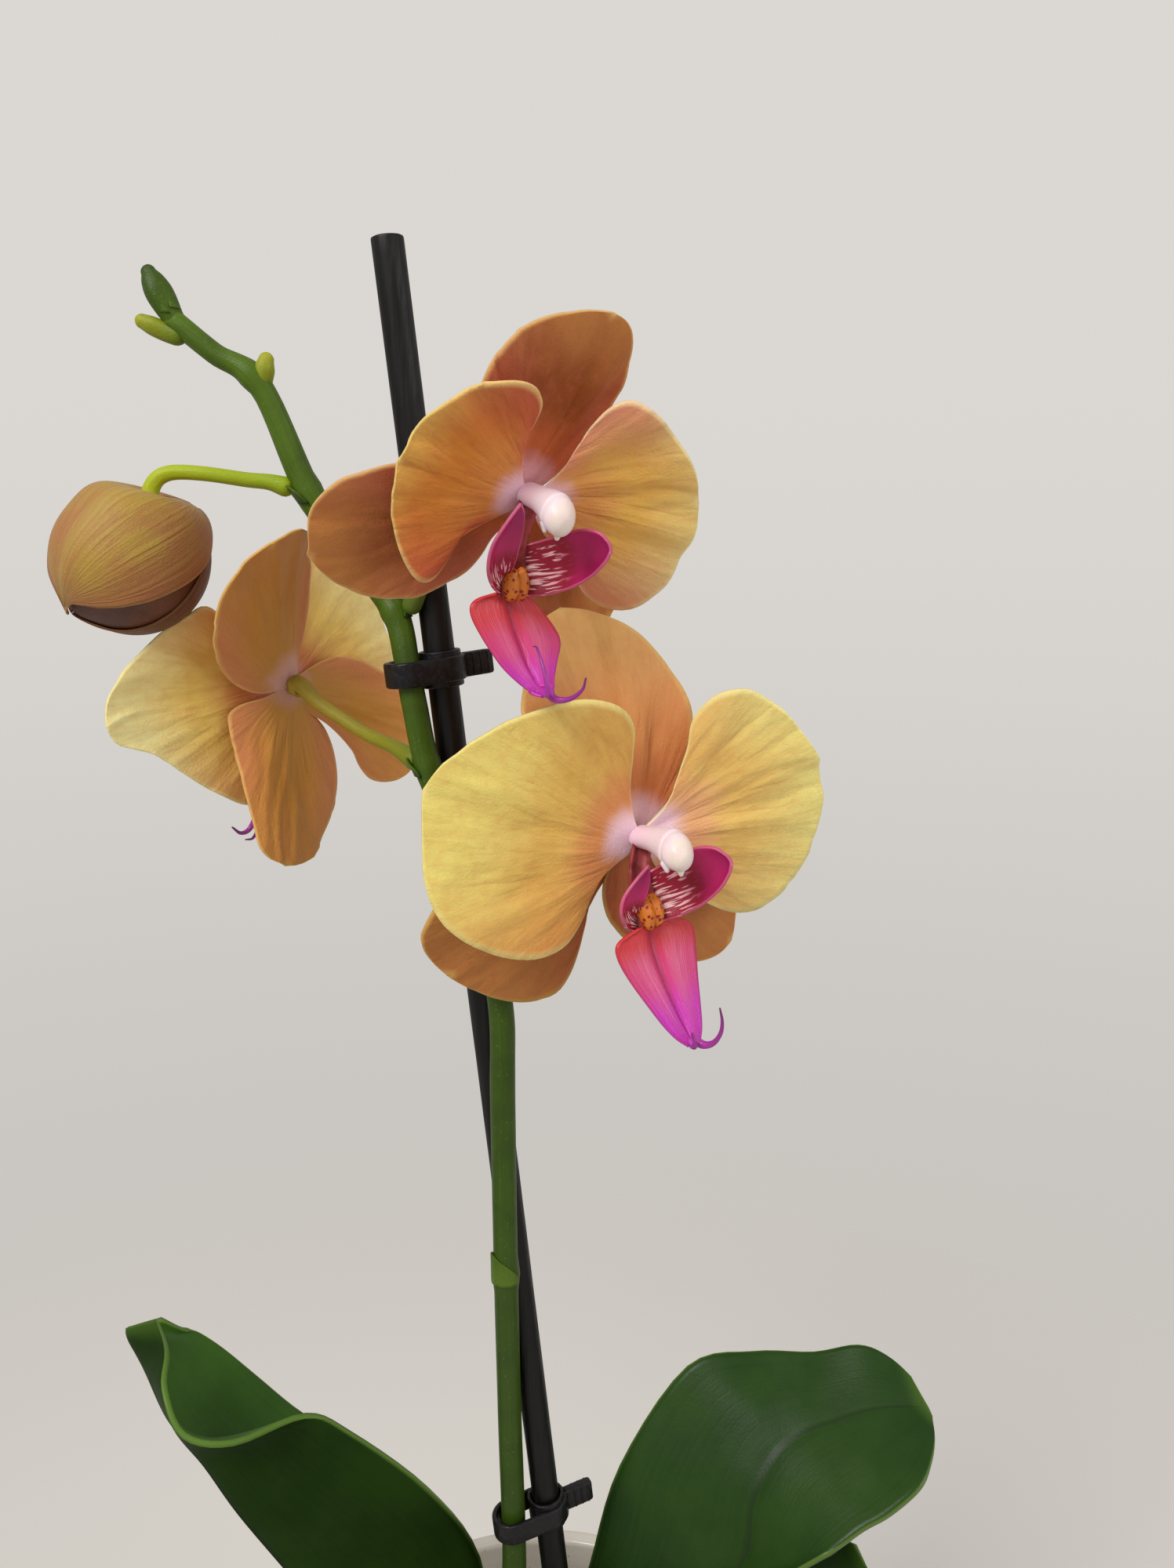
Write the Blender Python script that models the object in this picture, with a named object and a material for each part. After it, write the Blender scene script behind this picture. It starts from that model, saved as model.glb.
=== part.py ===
# Potted moth orchid: a round pot of bark, leaves, one staked flower spike with
# three open flowers, a large bud and the small buds of its growing tip.
# Lengths are in millimetres until a mesh or curve is made. The origin is the
# centre of the pot's underside, +Z is up, and the plant is seen along +Y.

import math

import bmesh
import bpy
from mathutils import Matrix, Vector

MM = 0.001
GAP = 0.4                       # clearance between pieces that touch

POT_HEIGHT = 120.0
POT_RIM_RADIUS = 61.0
POT_FOOT_RADIUS = 43.0
POT_WALL = 3.0
BARK_TOP = 107.0
CROWN_PLACE = (-2.0, 7.0)
CROWN_RADIUS = 7.0
CROWN_FOOT = 98.0
CROWN_TOP = 123.0
STICK_RADIUS = 3.0
STICK_FOOT = Vector((19.4, 0.0, 20.0))
STICK_TOP = Vector((-24.1, 0.0, 451.0))
SEPAL_THICKNESS = 0.8
LEAF_THICKNESS = 1.6
PETAL_LAYER = 0.9               # petals lie this far in front of the flower's middle
SEPAL_LAYER = -0.9
TEPAL_ROWS = (0.08, 0.22, 0.38, 0.54, 0.70, 0.84, 0.94, 0.985)
TEPAL_COLUMNS = 6

for old_object in list(bpy.data.objects):
    bpy.data.objects.remove(old_object, do_unlink=True)


# ---------------------------------------------------------------- helpers

def make_material(name, colour, roughness):
    material = bpy.data.materials.new(name)
    material.use_nodes = True
    shader = material.node_tree.nodes["Principled BSDF"]
    shader.inputs["Base Color"].default_value = (*colour, 1.0)
    shader.inputs["Roughness"].default_value = roughness
    material.diffuse_color = (*colour, 1.0)
    return material


def add_object(name, data, material):
    item = bpy.data.objects.new(name, data)
    data.materials.append(material)
    bpy.context.scene.collection.objects.link(item)
    return item


def mesh_object(name, points, faces, material, smooth=True):
    mesh = bpy.data.meshes.new(name)
    mesh.from_pydata([Vector(p) * MM for p in points], [], faces)
    work = bmesh.new()
    work.from_mesh(mesh)
    bmesh.ops.recalc_face_normals(work, faces=work.faces)
    work.to_mesh(mesh)
    work.free()
    mesh.shade_smooth() if smooth else mesh.shade_flat()
    return add_object(name, mesh, material)


def tube(name, points, radii, material, sides=2, steps=3):
    """A round stem: a smooth path with a radius at each point and closed ends."""
    curve = bpy.data.curves.new(name, "CURVE")
    curve.dimensions = "3D"
    curve.bevel_depth = MM
    curve.bevel_resolution = sides
    curve.use_fill_caps = True
    curve.resolution_u = steps
    curve.render_resolution_u = steps
    spline = curve.splines.new("BEZIER")
    spline.bezier_points.add(len(points) - 1)
    for knot, point, radius in zip(spline.bezier_points, points, radii):
        knot.co = Vector(point) * MM
        knot.radius = radius
        knot.handle_left_type = knot.handle_right_type = "AUTO"
    return add_object(name, curve, material)


def ring_stack(name, profile, material, segments=40):
    """A solid turned about Z; the profile is (radius, height) from axis to axis."""
    points = [(0.0, 0.0, profile[0][1])]
    faces = []
    rings = []
    for radius, height in profile[1:-1]:
        rings.append(len(points))
        for step in range(segments):
            angle = 2 * math.pi * step / segments
            points.append((radius * math.cos(angle), radius * math.sin(angle), height))
    points.append((0.0, 0.0, profile[-1][1]))
    last = len(points) - 1
    for step in range(segments):
        after = (step + 1) % segments
        faces.append((0, rings[0] + after, rings[0] + step))
        faces.append((last, rings[-1] + step, rings[-1] + after))
        for low, high in zip(rings, rings[1:]):
            faces.append((low + step, low + after, high + after, high + step))
    return mesh_object(name, points, faces, material)


def sheet(name, rows, thickness, material):
    """A thin blade: a grid of points thickened evenly to both sides."""
    width = len(rows[0])
    points = [point for row in rows for point in row]
    faces = []
    for r in range(len(rows) - 1):
        for c in range(width - 1):
            first = r * width + c
            faces.append((first, first + 1, first + width + 1, first + width))
    item = mesh_object(name, points, faces, material)
    solid = item.modifiers.new("Thickness", "SOLIDIFY")
    solid.thickness = thickness * MM
    solid.offset = 0.0
    return item


def prism(name, outline, low, high, material):
    """A flat outline raised from one height to another."""
    count = len(outline)
    points = [(x, y, low) for x, y in outline] + [(x, y, high) for x, y in outline]
    faces = [tuple(range(count)), tuple(range(count, 2 * count))]
    for step in range(count):
        after = (step + 1) % count
        faces.append((step, after, count + after, count + step))
    return mesh_object(name, points, faces, material, smooth=False)


def rod(name, start, end, radius, material, sides=24):
    """A straight round bar from one point to another."""
    bar = prism(name, arc((0, 0), radius, 0, 360 - 360 / sides, sides - 1), 0, (end - start).length, material)
    bar.location = start * MM
    bar.rotation_mode = "QUATERNION"
    bar.rotation_quaternion = (end - start).to_track_quat("Z", "Y")
    return bar


def combine(target, cutter, operation):
    step = target.modifiers.new(cutter.name, "BOOLEAN")
    step.operation = operation
    step.solver = "EXACT"
    step.object = cutter
    cutter.hide_render = True
    cutter.hide_set(True)
    cutter.display_type = "WIRE"


def arc(centre, radius, start, end, steps=8):
    turn = [math.radians(start + (end - start) * i / steps) for i in range(steps + 1)]
    return [(centre[0] + radius * math.cos(a), centre[1] + radius * math.sin(a)) for a in turn]


def curve_through(points, steps):
    """Points on a Catmull-Rom curve through the given ones, with `steps` per span."""
    knots = [Vector(p) for p in points]
    knots = [2 * knots[0] - knots[1]] + knots + [2 * knots[-1] - knots[-2]]
    path = []
    for a, b, c, d in zip(knots, knots[1:], knots[2:], knots[3:]):
        for step in range(steps):
            t = step / steps
            path.append(0.5 * (2 * b + (c - a) * t + (2 * a - 5 * b + 4 * c - d) * t ** 2
                               + (3 * b - a - 3 * c + d) * t ** 3))
    path.append(knots[-2])
    return path


def stick_point(height):
    share = (height - STICK_FOOT.z) / (STICK_TOP.z - STICK_FOOT.z)
    return STICK_FOOT.lerp(STICK_TOP, share)


# -------------------------------------------------------------- materials

POT_GLAZE = make_material("pot_glaze", (0.78, 0.75, 0.70), 0.35)
BARK = make_material("bark", (0.20, 0.11, 0.06), 0.9)
LEAF_GREEN = make_material("leaf_green", (0.05, 0.13, 0.02), 0.35)
STEM_GREEN = make_material("stem_green", (0.09, 0.20, 0.03), 0.45)
ROOT_GREY = make_material("root_grey", (0.42, 0.46, 0.36), 0.8)
STICK_BLACK = make_material("stick_black", (0.02, 0.018, 0.016), 0.5)
CLIP_BLACK = make_material("clip_black", (0.02, 0.02, 0.022), 0.45)
PETAL_GOLD = make_material("petal_gold", (0.68, 0.45, 0.12), 0.5)
SEPAL_ORANGE = make_material("sepal_orange", (0.55, 0.26, 0.09), 0.5)
LIP_MAGENTA = make_material("lip_magenta", (0.62, 0.06, 0.22), 0.45)
COLUMN_WHITE = make_material("column_white", (0.86, 0.72, 0.76), 0.4)
BUD_OLIVE = make_material("bud_olive", (0.44, 0.28, 0.12), 0.5)


# --------------------------------------------------------- pot, bark, stick

def make_pot():
    rim = POT_RIM_RADIUS
    foot = POT_FOOT_RADIUS
    top = POT_HEIGHT
    profile = [(0, 0), (foot - 3, 0), (foot - 0.8, 0.8), (foot, 3), (rim - 2.8, 104), (rim - 0.7, 106.5),
               (rim, 108.5), (rim, top - 2), (rim - 0.7, top - 0.5), (rim - 2, top), (rim - 3.5, top - 0.6),
               (rim - 4, top - 2), (rim - 4.8, 104), (foot - POT_WALL, 8), (foot - 5, 5), (0, 5)]
    return ring_stack("pot", profile, POT_GLAZE, 48)


def make_bark_bed():
    """The bark that fills the pot, as one body with holes for the stick and the crown."""
    inside_low = POT_FOOT_RADIUS - 5 - GAP
    inside_high = POT_RIM_RADIUS - 4.9 - GAP
    profile = [(0, 5 + GAP), (inside_low, 5 + GAP), (inside_low + 1.6, 8.5), (inside_high, BARK_TOP - 4),
               (inside_high - 14, BARK_TOP - 1.4), (inside_high - 34, BARK_TOP), (0, BARK_TOP)]
    bed = ring_stack("bark_bed", profile, BARK, 48)
    hole = rod("stick_hole", stick_point(STICK_FOOT.z - 1), stick_point(BARK_TOP + 20), STICK_RADIUS + GAP, BARK)
    recess = rod("crown_recess", Vector((*CROWN_PLACE, CROWN_FOOT - GAP)), Vector((*CROWN_PLACE, BARK_TOP + 20)),
                 CROWN_RADIUS + GAP, BARK)
    combine(bed, hole, "DIFFERENCE")
    combine(bed, recess, "DIFFERENCE")
    return bed


def make_crown():
    x, y = CROWN_PLACE
    heights = (CROWN_FOOT, 112.0, CROWN_TOP - 3, CROWN_TOP)
    radii = (CROWN_RADIUS - 0.3, CROWN_RADIUS - 0.6, CROWN_RADIUS - 2, 2.0)
    return tube("crown", [(x, y, z) for z in heights], radii, STEM_GREEN, 3, 2)


def make_roots():
    """Thick aerial roots that leave the crown and reach over the bark."""
    x, y = CROWN_PLACE
    arch = ((7.8, 111.2), (15.0, 113.5), (25.0, 112.0), (34.0, 109.4))
    for number, (heading, reach) in enumerate(((295, 1.0), (58, 0.85), (95, 1.0), (132, 0.9)), 1):
        angle = math.radians(heading)
        path = []
        for distance, height in arch:
            out = 7.8 + (distance - 7.8) * reach
            path.append((x + out * math.cos(angle), y + out * math.sin(angle), height))
        tube(f"aerial_root_{number}", path, (1.9, 2.1, 2.0, 1.6), ROOT_GREY, 2, 2)


def make_stick():
    points = [STICK_FOOT, stick_point(150), stick_point(300), STICK_TOP]
    return tube("support_stick", points, [STICK_RADIUS] * 4, STICK_BLACK, 3, 1)


# ------------------------------------------------------------------ leaves

# Each leaf is three rails from its base to its tip: one margin, the midrib, the
# other margin. The first margin is the one nearer to the front.
LEAVES = {
    "leaf_left_upper": (
        [(-10.5, 4, 124), (-12, 4, 142), (-13, 4, 166), (-23, -4, 191), (-39, -7, 208), (-48, -9, 214),
         (-57, -20, 219), (-68, -22, 222), (-75, -17, 227), (-79, -6, 228), (-85, 4, 228)],
        [(-11.5, 8, 115), (-24, 0, 134), (-42, -9, 158), (-53, -10, 176), (-63, -10, 191), (-70, -9, 202),
         (-76, -7, 208), (-80, -4, 213), (-85, 0, 219), (-89, 3, 223), (-91, 6, 224)],
        [(-10, 12, 123), (-14, 16, 134), (-19, 20, 152), (-31, 19, 170), (-46, 18, 186), (-56, 17, 193),
         (-66, 15, 205), (-73, 14, 213), (-78, 12, 219), (-80, 10, 221), (-84, 8, 225)]),
    "leaf_right_upper": (
        [(6.8, 6, 124), (34, -5, 153), (60, -12, 179), (66, -12, 183), (72, -11, 187), (78, -10, 190),
         (84, -8, 195), (88, -4, 199), (91, 2, 199), (92, 8, 197)],
        [(7.4, 9, 116), (28, 5, 141), (47, 1, 166), (49, 3, 177), (51, 5, 183), (56, 8, 189),
         (62, 10, 193), (72, 11, 196), (81, 11, 196), (89, 10, 196)],
        [(5, 13, 124), (9, 14, 139), (13, 13, 156), (18, 15, 176), (27, 19, 192), (38, 22, 203),
         (52, 24, 205), (67, 24, 205), (80, 22, 206), (88, 16, 204)]),
    "leaf_right_lower": (
        [(7.4, 6.2, 113.5), (30, -8, 136), (50, -14, 156), (66, -11, 166), (76, -3, 168)],
        [(8.0, 9, 109.2), (30, 4, 127), (52, 2, 149), (68, 2, 160), (77, 2, 164)],
        [(7.0, 12, 113.5), (26, 20, 133), (46, 21, 152), (64, 17, 163), (75, 7, 166)]),
    "leaf_left_lower": (
        [(-11.6, 4, 114), (-32, -10, 126), (-58, -16, 134), (-80, -12, 135), (-95, 0, 128)],
        [(-12.6, 8, 109.4), (-33, 5, 119), (-60, 4, 127), (-83, 4, 129), (-97, 4, 126)],
        [(-11.4, 12, 114), (-30, 22, 125), (-57, 24, 133), (-79, 20, 134), (-94, 9, 128)]),
}


def leaf_rows(rails, steps):
    """Rows across a leaf, rounded through the midrib from margin to margin."""
    near, middle, far = (curve_through(rail, steps) for rail in rails)
    rows = []
    for a, b, c in zip(near, middle, far):
        row = []
        for share in (-1.0, -0.62, -0.28, 0.0, 0.28, 0.62, 1.0):
            margin = a if share < 0 else c
            bow = 0.18 * (abs(share) - share ** 2)
            inward = (a + c) / 2 - b
            row.append(b.lerp(margin, abs(share)) - inward * bow)
        rows.append(row)
    return rows


def make_leaves():
    for name, rails in LEAVES.items():
        steps = 1 if len(rails[0]) > 6 else 2
        sheet(name, leaf_rows(rails, steps), LEAF_THICKNESS, LEAF_GREEN)


# ----------------------------------------------------------- spike and clips

SPIKE_PATH = (
    # x, y, z, radius
    (-6.0, -4.5, 108.5, 2.9), (-5.4, -4.0, 140.0, 2.8), (-4.4, -3.0, 171.5, 2.7), (-4.9, -4.0, 210.5, 2.6),
    (-5.0, -7.2, 251.0, 2.6), (-5.0, -8.4, 287.0, 2.6), (-5.0, -8.5, 305.5, 2.6), (-7.4, -8.3, 320.5, 2.6),
    (-10.7, -7.6, 331.5, 2.6), (-18.3, -5.4, 353.5, 2.5), (-21.0, -4.4, 366.5, 2.5), (-22.2, -3.6, 373.5, 2.5),
    (-24.1, -1.5, 382.5, 2.6), (-28.2, 0.0, 389.0, 2.6), (-39.5, 0.0, 404.5, 2.7), (-48.2, 0.0, 425.0, 2.4),
    (-56.5, 0.0, 431.0, 2.3), (-63.4, 0.0, 436.6, 2.3))


def spike_point(height):
    for low, high in zip(SPIKE_PATH, SPIKE_PATH[1:]):
        if low[2] <= height <= high[2]:
            share = (height - low[2]) / (high[2] - low[2])
            return Vector(low[:3]).lerp(Vector(high[:3]), share)
    return Vector(SPIKE_PATH[-1][:3])


def make_spike():
    points = [knot[:3] for knot in SPIKE_PATH]
    radii = [knot[3] for knot in SPIKE_PATH]
    return tube("flower_spike", points, radii, STEM_GREEN, 2, 2)


def make_bract():
    """The small dry scale that clasps the spike below its flowers."""
    low = spike_point(247.0)
    rows = []
    for height, spread, radius in ((0.0, 100, 3.5), (2.5, 96, 3.6), (5.5, 60, 3.7), (8.5, 14, 3.9)):
        row = []
        for step in range(5):
            angle = math.radians(200 + spread * (step / 2 - 1))
            row.append(low + Vector((radius * math.cos(angle), radius * math.sin(angle) - height * 0.08, height)))
        rows.append(row)
    return sheet("spike_bract", rows, 0.4, STEM_GREEN)


def make_clip(name, height):
    """A one-piece clip: a band round stick and spike, a collar on the stick and a tail."""
    on_stick = stick_point(height)
    on_spike = spike_point(height)
    reach = (on_spike - on_stick).to_2d().length
    band, slot = 4.9, 3.55
    tail_length, tail_half, half_height = 11.0, 1.1, 2.4
    edge = math.degrees(math.asin(tail_half / band))
    outline = ([(tail_length, tail_half), (tail_length, -tail_half)]
               + arc((0, 0), band, -edge, -90) + arc((-reach, 0), band - 0.4, -90, -270, 12)
               + arc((0, 0), band, 90, edge))
    body = prism(name, outline, -half_height, half_height, CLIP_BLACK)
    hole = prism(name + "_slot", arc((0, 0), slot, 90, -90, 12) + arc((-reach, 0), slot, -90, -270, 12),
                 -half_height - 2, half_height + 2, CLIP_BLACK)
    collar = prism(name + "_collar", arc((0, 0), 4.1, 0, 348, 29), -3.5, 3.5, CLIP_BLACK)
    bore = prism(name + "_bore", arc((0, 0), STICK_RADIUS + 0.3, 0, 345, 23), -5, 5, CLIP_BLACK)
    combine(body, hole, "DIFFERENCE")
    combine(body, collar, "UNION")
    combine(body, bore, "DIFFERENCE")
    toward_spike = math.atan2(on_stick.y - on_spike.y, on_stick.x - on_spike.x)
    lean = Matrix.Rotation(math.atan2(STICK_TOP.x - STICK_FOOT.x, STICK_TOP.z - STICK_FOOT.z), 4, "Y")
    place = Matrix.Translation(on_stick * MM) @ lean @ Matrix.Rotation(toward_spike, 4, "Z")
    for item in (body, hole, collar, bore):
        item.matrix_world = place


# ----------------------------------------------------------------- flowers

# A flower's frame has x to its right and y up as seen from its front, and z out
# of its face. A tepal lies along an axis at `turn` degrees; each edge is a cubic
# from base to tip whose two inner handles are (along, across), the second one
# measured from the tip.
FLOWERS = {
    "upper_flower": {
        "place": (-1.2, -29.0, 403.0), "yaw": 31, "nod": 30, "roll": -2, "scale": 0.96, "column_tip": (0, 5.2, 16.2),
        "lip_tip": ((-20.9, 13.6), (-23.2, 19.5), (-22.4, 25.0)),
        "tepals": {
            "upper_sepal": (79, 36.5, (6.5, 20, -2, 17.5), (7.5, -11, 2, -15), (-1, 0.04, 0.04, 0)),
            "left_petal": (171, 22, (9.5, 20, -5, 21.5), (3, -36, -1.5, -28), (4, -0.12, 0.23, 0)),
            "right_petal": (21, 31, (14.5, 6, -9.5, 35), (5.5, -32, -0.5, -36), (17, 0.07, -0.09, -0.04)),
            "left_sepal": (208.5, 33.5, (8.5, 17.5, -2, 16.5), (7, -18, -1, -21), (-8.5, -0.09, 0.05, 0)),
            "right_sepal": (-38, 41, (8, 13, -0.5, 19), (8, -13, -0.5, -19), (-4, 0, 0.05, 0))}},
    "lower_flower": {
        "place": (18.1, -18.5, 343.0), "yaw": 31, "nod": 5, "roll": 4, "scale": 1.05, "column_tip": (0, 1.6, 17.4),
        "lip_tip": ((-22.4, 11.4), (-27.5, 15.0), (-31.8, 19.9)),
        "tepals": {
            "upper_sepal": (94, 40, (8.5, 14, 0, 20), (7.5, -25.5, -3, -20.5), (-6.5, -0.15, 0.08, 0)),
            "left_petal": (159, 37, (3, 31, -3.5, 31), (0.5, -41.5, -1.5, -17.5), (4, -0.19, 0.13, 0)),
            "right_petal": (22, 37, (13, 1, -7.5, 42), (1.5, -35, -2, -33.5), (15, 0.04, -0.11, -0.03)),
            "left_sepal": (221.5, 37, (15, 3, -4, 33), (9, -14, 3, -27), (-11, -0.14, 0.08, 0)),
            "right_sepal": (-44.5, 39, (8, 13, -0.5, 17.5), (2, -20, -1, -15), (-6, -0.02, 0.04, 0))}},
    "rear_flower": {
        "place": (-49.8, 15.1, 367.4), "yaw": 235, "nod": -2, "roll": -21, "scale": 1.0, "column_tip": (0, 1.6, 15.0),
        "lip_tip": ((-21.5, 11.4), (-26.0, 14.0), (-30.0, 18.0)),
        "tepals": {
            "upper_sepal": (87, 33, (8.5, 12, 2, 20), (6.5, -21.5, -2.5, -19), (-10.5, -0.22, 0.07, 0)),
            "left_petal": (171, 33.5, (5.5, 23, -1, 28), (5, -25, -0.5, -33), (7, -0.05, 0.04, 0)),
            "right_petal": (11, 37, (5, 24, -1, 19), (1, -46.5, -7, -4.5), (10, 0.03, -0.07, 0)),
            "left_sepal": (224, 37.5, (14, 0.5, -0.5, 28.5), (5.5, -16, -0.5, -15), (-8, -0.06, 0.06, 0)),
            "right_sepal": (-49.5, 36, (3, 20.5, -1.5, 4.5), (7.5, -23, -2, -23), (-10, -0.08, 0.03, 0))}},
}
LIP_YAW = 8.0                   # the lip and column turn this much further than the tepals


def edge_point(length, handles, t):
    first, second = Vector(handles[:2]), Vector((length + handles[2], handles[3]))
    tip = Vector((length, 0.0))
    return 3 * (1 - t) ** 2 * t * first + 3 * (1 - t) * t ** 2 * second + t ** 3 * tip


def tepal_rows(spec, layer):
    turn, length, left, right, (tilt, curl, cup, twist) = spec
    axis = Vector((math.cos(math.radians(turn)), math.sin(math.radians(turn))))
    across = Vector((-axis.y, axis.x))
    rows = []
    for t in TEPAL_ROWS:
        upper = edge_point(length, left, t)
        lower = edge_point(length, right, t)
        row = []
        for step in range(TEPAL_COLUMNS):
            point = lower.lerp(upper, step / (TEPAL_COLUMNS - 1))
            along = 3.0 + point.x * (length - 3.0) / length
            claw = min(1.0, 0.35 + 0.65 * max(along - 3.0, 0.0) / 9.0)
            aside = point.y * claw
            height = (along * math.tan(math.radians(tilt)) + curl * along ** 2 / length
                      + cup * aside ** 2 / length + twist * along * aside / length)
            flat = axis * along + across * aside
            row.append(Vector((flat.x, flat.y, height + layer)))
        rows.append(row)
    return rows


def lip_rows(lip_tip):
    """The one-piece lip: a claw, two side lobes that stand up, a waist and a middle lobe."""
    stations = [(-2.6, 3.6, 1.8, 30), (-5.2, 5.8, 8.0, 76), (-8.4, 7.8, 12.5, 84), (-11.6, 8.2, 10.0, 78),
                (-14.4, 7.8, 3.2, 30), (-17.0, 9.2, 7.6, 14)]
    for (y, z), half in zip(lip_tip, (8.6, 6.0, 1.2)):
        stations.append((y, z, half, 12))
    rows = []
    for number, (y, z, half, rise) in enumerate(stations):
        before = stations[max(number - 1, 0)]
        after = stations[min(number + 1, len(stations) - 1)]
        run = Vector((0, after[0] - before[0], after[1] - before[1])).normalized()
        normal = Vector((1, 0, 0)).cross(run)
        if normal.z < 0:
            normal.negate()
        row = []
        for side in (-1.0, -0.66, -0.33, 0.0, 0.33, 0.66, 1.0):
            lean = math.radians(rise) * min(1.0, abs(side) * 1.6)
            out = half * side * math.cos(lean * 0.75)
            up = half * abs(side) * math.sin(lean)
            row.append(Vector((out, y, z)) + normal * up)
        rows.append(row)
    return rows


def make_flower(name, spec):
    frame = bpy.data.objects.new(name + "_frame", None)
    bpy.context.scene.collection.objects.link(frame)
    frame.location = Vector(spec["place"]) * MM
    frame.scale = [spec["scale"]] * 3
    frame.rotation_mode = "QUATERNION"
    turn = (Matrix.Rotation(math.radians(spec["yaw"]), 3, "Z")
            @ Matrix.Rotation(math.radians(90 + spec["nod"]), 3, "X")
            @ Matrix.Rotation(math.radians(spec["roll"]), 3, "Z"))
    frame.rotation_quaternion = turn.to_quaternion()
    for part, shape in spec["tepals"].items():
        is_petal = part.endswith("petal")
        layer = PETAL_LAYER if is_petal else SEPAL_LAYER
        rows = tepal_rows(shape, layer)
        blade = sheet(f"{name}_{part}", rows, SEPAL_THICKNESS, PETAL_GOLD if is_petal else SEPAL_ORANGE)
        blade.parent = frame
    lip = sheet(name + "_lip", lip_rows(spec["lip_tip"]), 0.9, LIP_MAGENTA)
    tip = Vector(spec["column_tip"])
    base = Vector((0, 1.4, 2.6))
    bend = base.lerp(tip, 0.5) + Vector((0, 1.2, 0))
    column = tube(name + "_column", [base, bend, base.lerp(tip, 0.85), tip], (2.2, 2.9, 3.2, 2.2), COLUMN_WHITE)
    for item in (lip, column):
        item.parent = frame
        item.rotation_euler = (0, math.radians(LIP_YAW), 0)


def flower_back(spec, distance):
    """A point behind a flower, on the line of its face."""
    yaw, nod = math.radians(spec["yaw"]), math.radians(spec["nod"])
    facing = Vector((math.sin(yaw) * math.cos(nod), -math.cos(yaw) * math.cos(nod), -math.sin(nod)))
    return Vector(spec["place"]) - facing * distance


def make_pedicels():
    """The flower stalks, each from the spike to the back of its flower or bud."""
    upper, lower, rear = (FLOWERS[n] for n in ("upper_flower", "lower_flower", "rear_flower"))
    tube("upper_flower_stalk",
         [(-21.0, -3.6, 385.4), (-15.5, -6.5, 395.0), (-10.5, -10.0, 404.5),
          flower_back(upper, 9.0), flower_back(upper, 1.9)], (1.6, 1.5, 1.5, 1.6, 2.3), STEM_GREEN)
    tube("lower_flower_stalk",
         [(-7.4, -9.6, 334.0), (-2.0, -9.0, 341.0), (6.0, -8.0, 346.0),
          flower_back(lower, 8.0), flower_back(lower, 1.9)], (1.6, 1.5, 1.5, 1.6, 2.3), STEM_GREEN)
    tube("rear_flower_stalk",
         [(-21.6, -2.6, 355.4), (-25.8, 0.5, 357.3), (-31.7, 5.0, 359.0), (-38.0, 8.6, 362.0),
          (-43.2, 11.0, 365.0), flower_back(rear, 1.9)],
         (1.8, 1.5, 1.4, 1.4, 1.6, 2.3), STEM_GREEN)
    tube("bud_stalk",
         [(-44.7, -0.3, 407.2), (-51.6, -1.0, 408.4), (-58.7, -2.0, 409.4), (-65.0, -2.2, 409.6),
          (-67.9, -2.4, 408.5)], (1.6, 1.5, 1.4, 1.4, 1.7), STEM_GREEN)


# --------------------------------------------------------------------- buds

BUDS = {
    # name: centre, direction of its tip, half sizes (across, across, along)
    "large_bud": ((-73.8, -3.0, 393.6), (-0.62, -0.40, -0.68), (15.2, 13.6, 14.4)),
    "tip_bud": ((-66.6, 0.0, 442.6), (-0.42, 0.0, 0.91), (2.9, 2.9, 5.0)),
    "side_bud_left": ((-69.6, 0.2, 436.0), (-0.98, -0.1, 0.18), (1.5, 1.5, 3.2)),
    "side_bud_right": ((-46.3, -0.4, 431.4), (0.25, -0.1, 0.96), (1.9, 1.9, 3.2)),
}


def make_buds():
    for name, (centre, direction, halves) in BUDS.items():
        mesh = bpy.data.meshes.new(name)
        work = bmesh.new()
        large = name == "large_bud"
        bmesh.ops.create_uvsphere(work, u_segments=20 if large else 10, v_segments=14 if large else 8, radius=MM)
        for vert in work.verts:
            vert.co = Vector((vert.co.x * halves[0], vert.co.y * halves[1], vert.co.z * halves[2]))
        work.to_mesh(mesh)
        work.free()
        mesh.shade_smooth()
        bud = add_object(name, mesh, BUD_OLIVE if large else STEM_GREEN)
        bud.location = Vector(centre) * MM
        bud.rotation_mode = "QUATERNION"
        bud.rotation_quaternion = Vector(direction).to_track_quat("Z", "Y")


make_pot()
make_bark_bed()
make_crown()
make_roots()
make_stick()
make_leaves()
make_spike()
make_bract()
make_clip("upper_clip", 373.0)
make_clip("lower_clip", 183.0)
for flower_name, flower_spec in FLOWERS.items():
    make_flower(flower_name, flower_spec)
make_pedicels()
make_buds()
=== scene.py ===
import math
import random

import bmesh
import bpy
from mathutils import Matrix, Vector, noise


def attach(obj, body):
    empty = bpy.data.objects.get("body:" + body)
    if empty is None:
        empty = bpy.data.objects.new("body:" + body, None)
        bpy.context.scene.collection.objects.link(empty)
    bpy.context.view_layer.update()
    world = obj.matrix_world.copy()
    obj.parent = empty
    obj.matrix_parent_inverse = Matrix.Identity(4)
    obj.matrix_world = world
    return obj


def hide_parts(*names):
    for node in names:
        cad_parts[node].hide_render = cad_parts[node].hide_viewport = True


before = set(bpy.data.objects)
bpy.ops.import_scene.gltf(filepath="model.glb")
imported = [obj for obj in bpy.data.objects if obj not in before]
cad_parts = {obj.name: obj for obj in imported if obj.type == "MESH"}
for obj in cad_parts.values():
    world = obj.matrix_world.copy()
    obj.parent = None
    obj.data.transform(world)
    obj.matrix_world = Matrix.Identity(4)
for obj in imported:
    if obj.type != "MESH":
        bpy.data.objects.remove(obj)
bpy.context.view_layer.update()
mm = 0.001                      # shapes below are drawn in millimetres and scaled when a mesh is made


# ---- camera, first, so that a stopped run still shows the view

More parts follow.
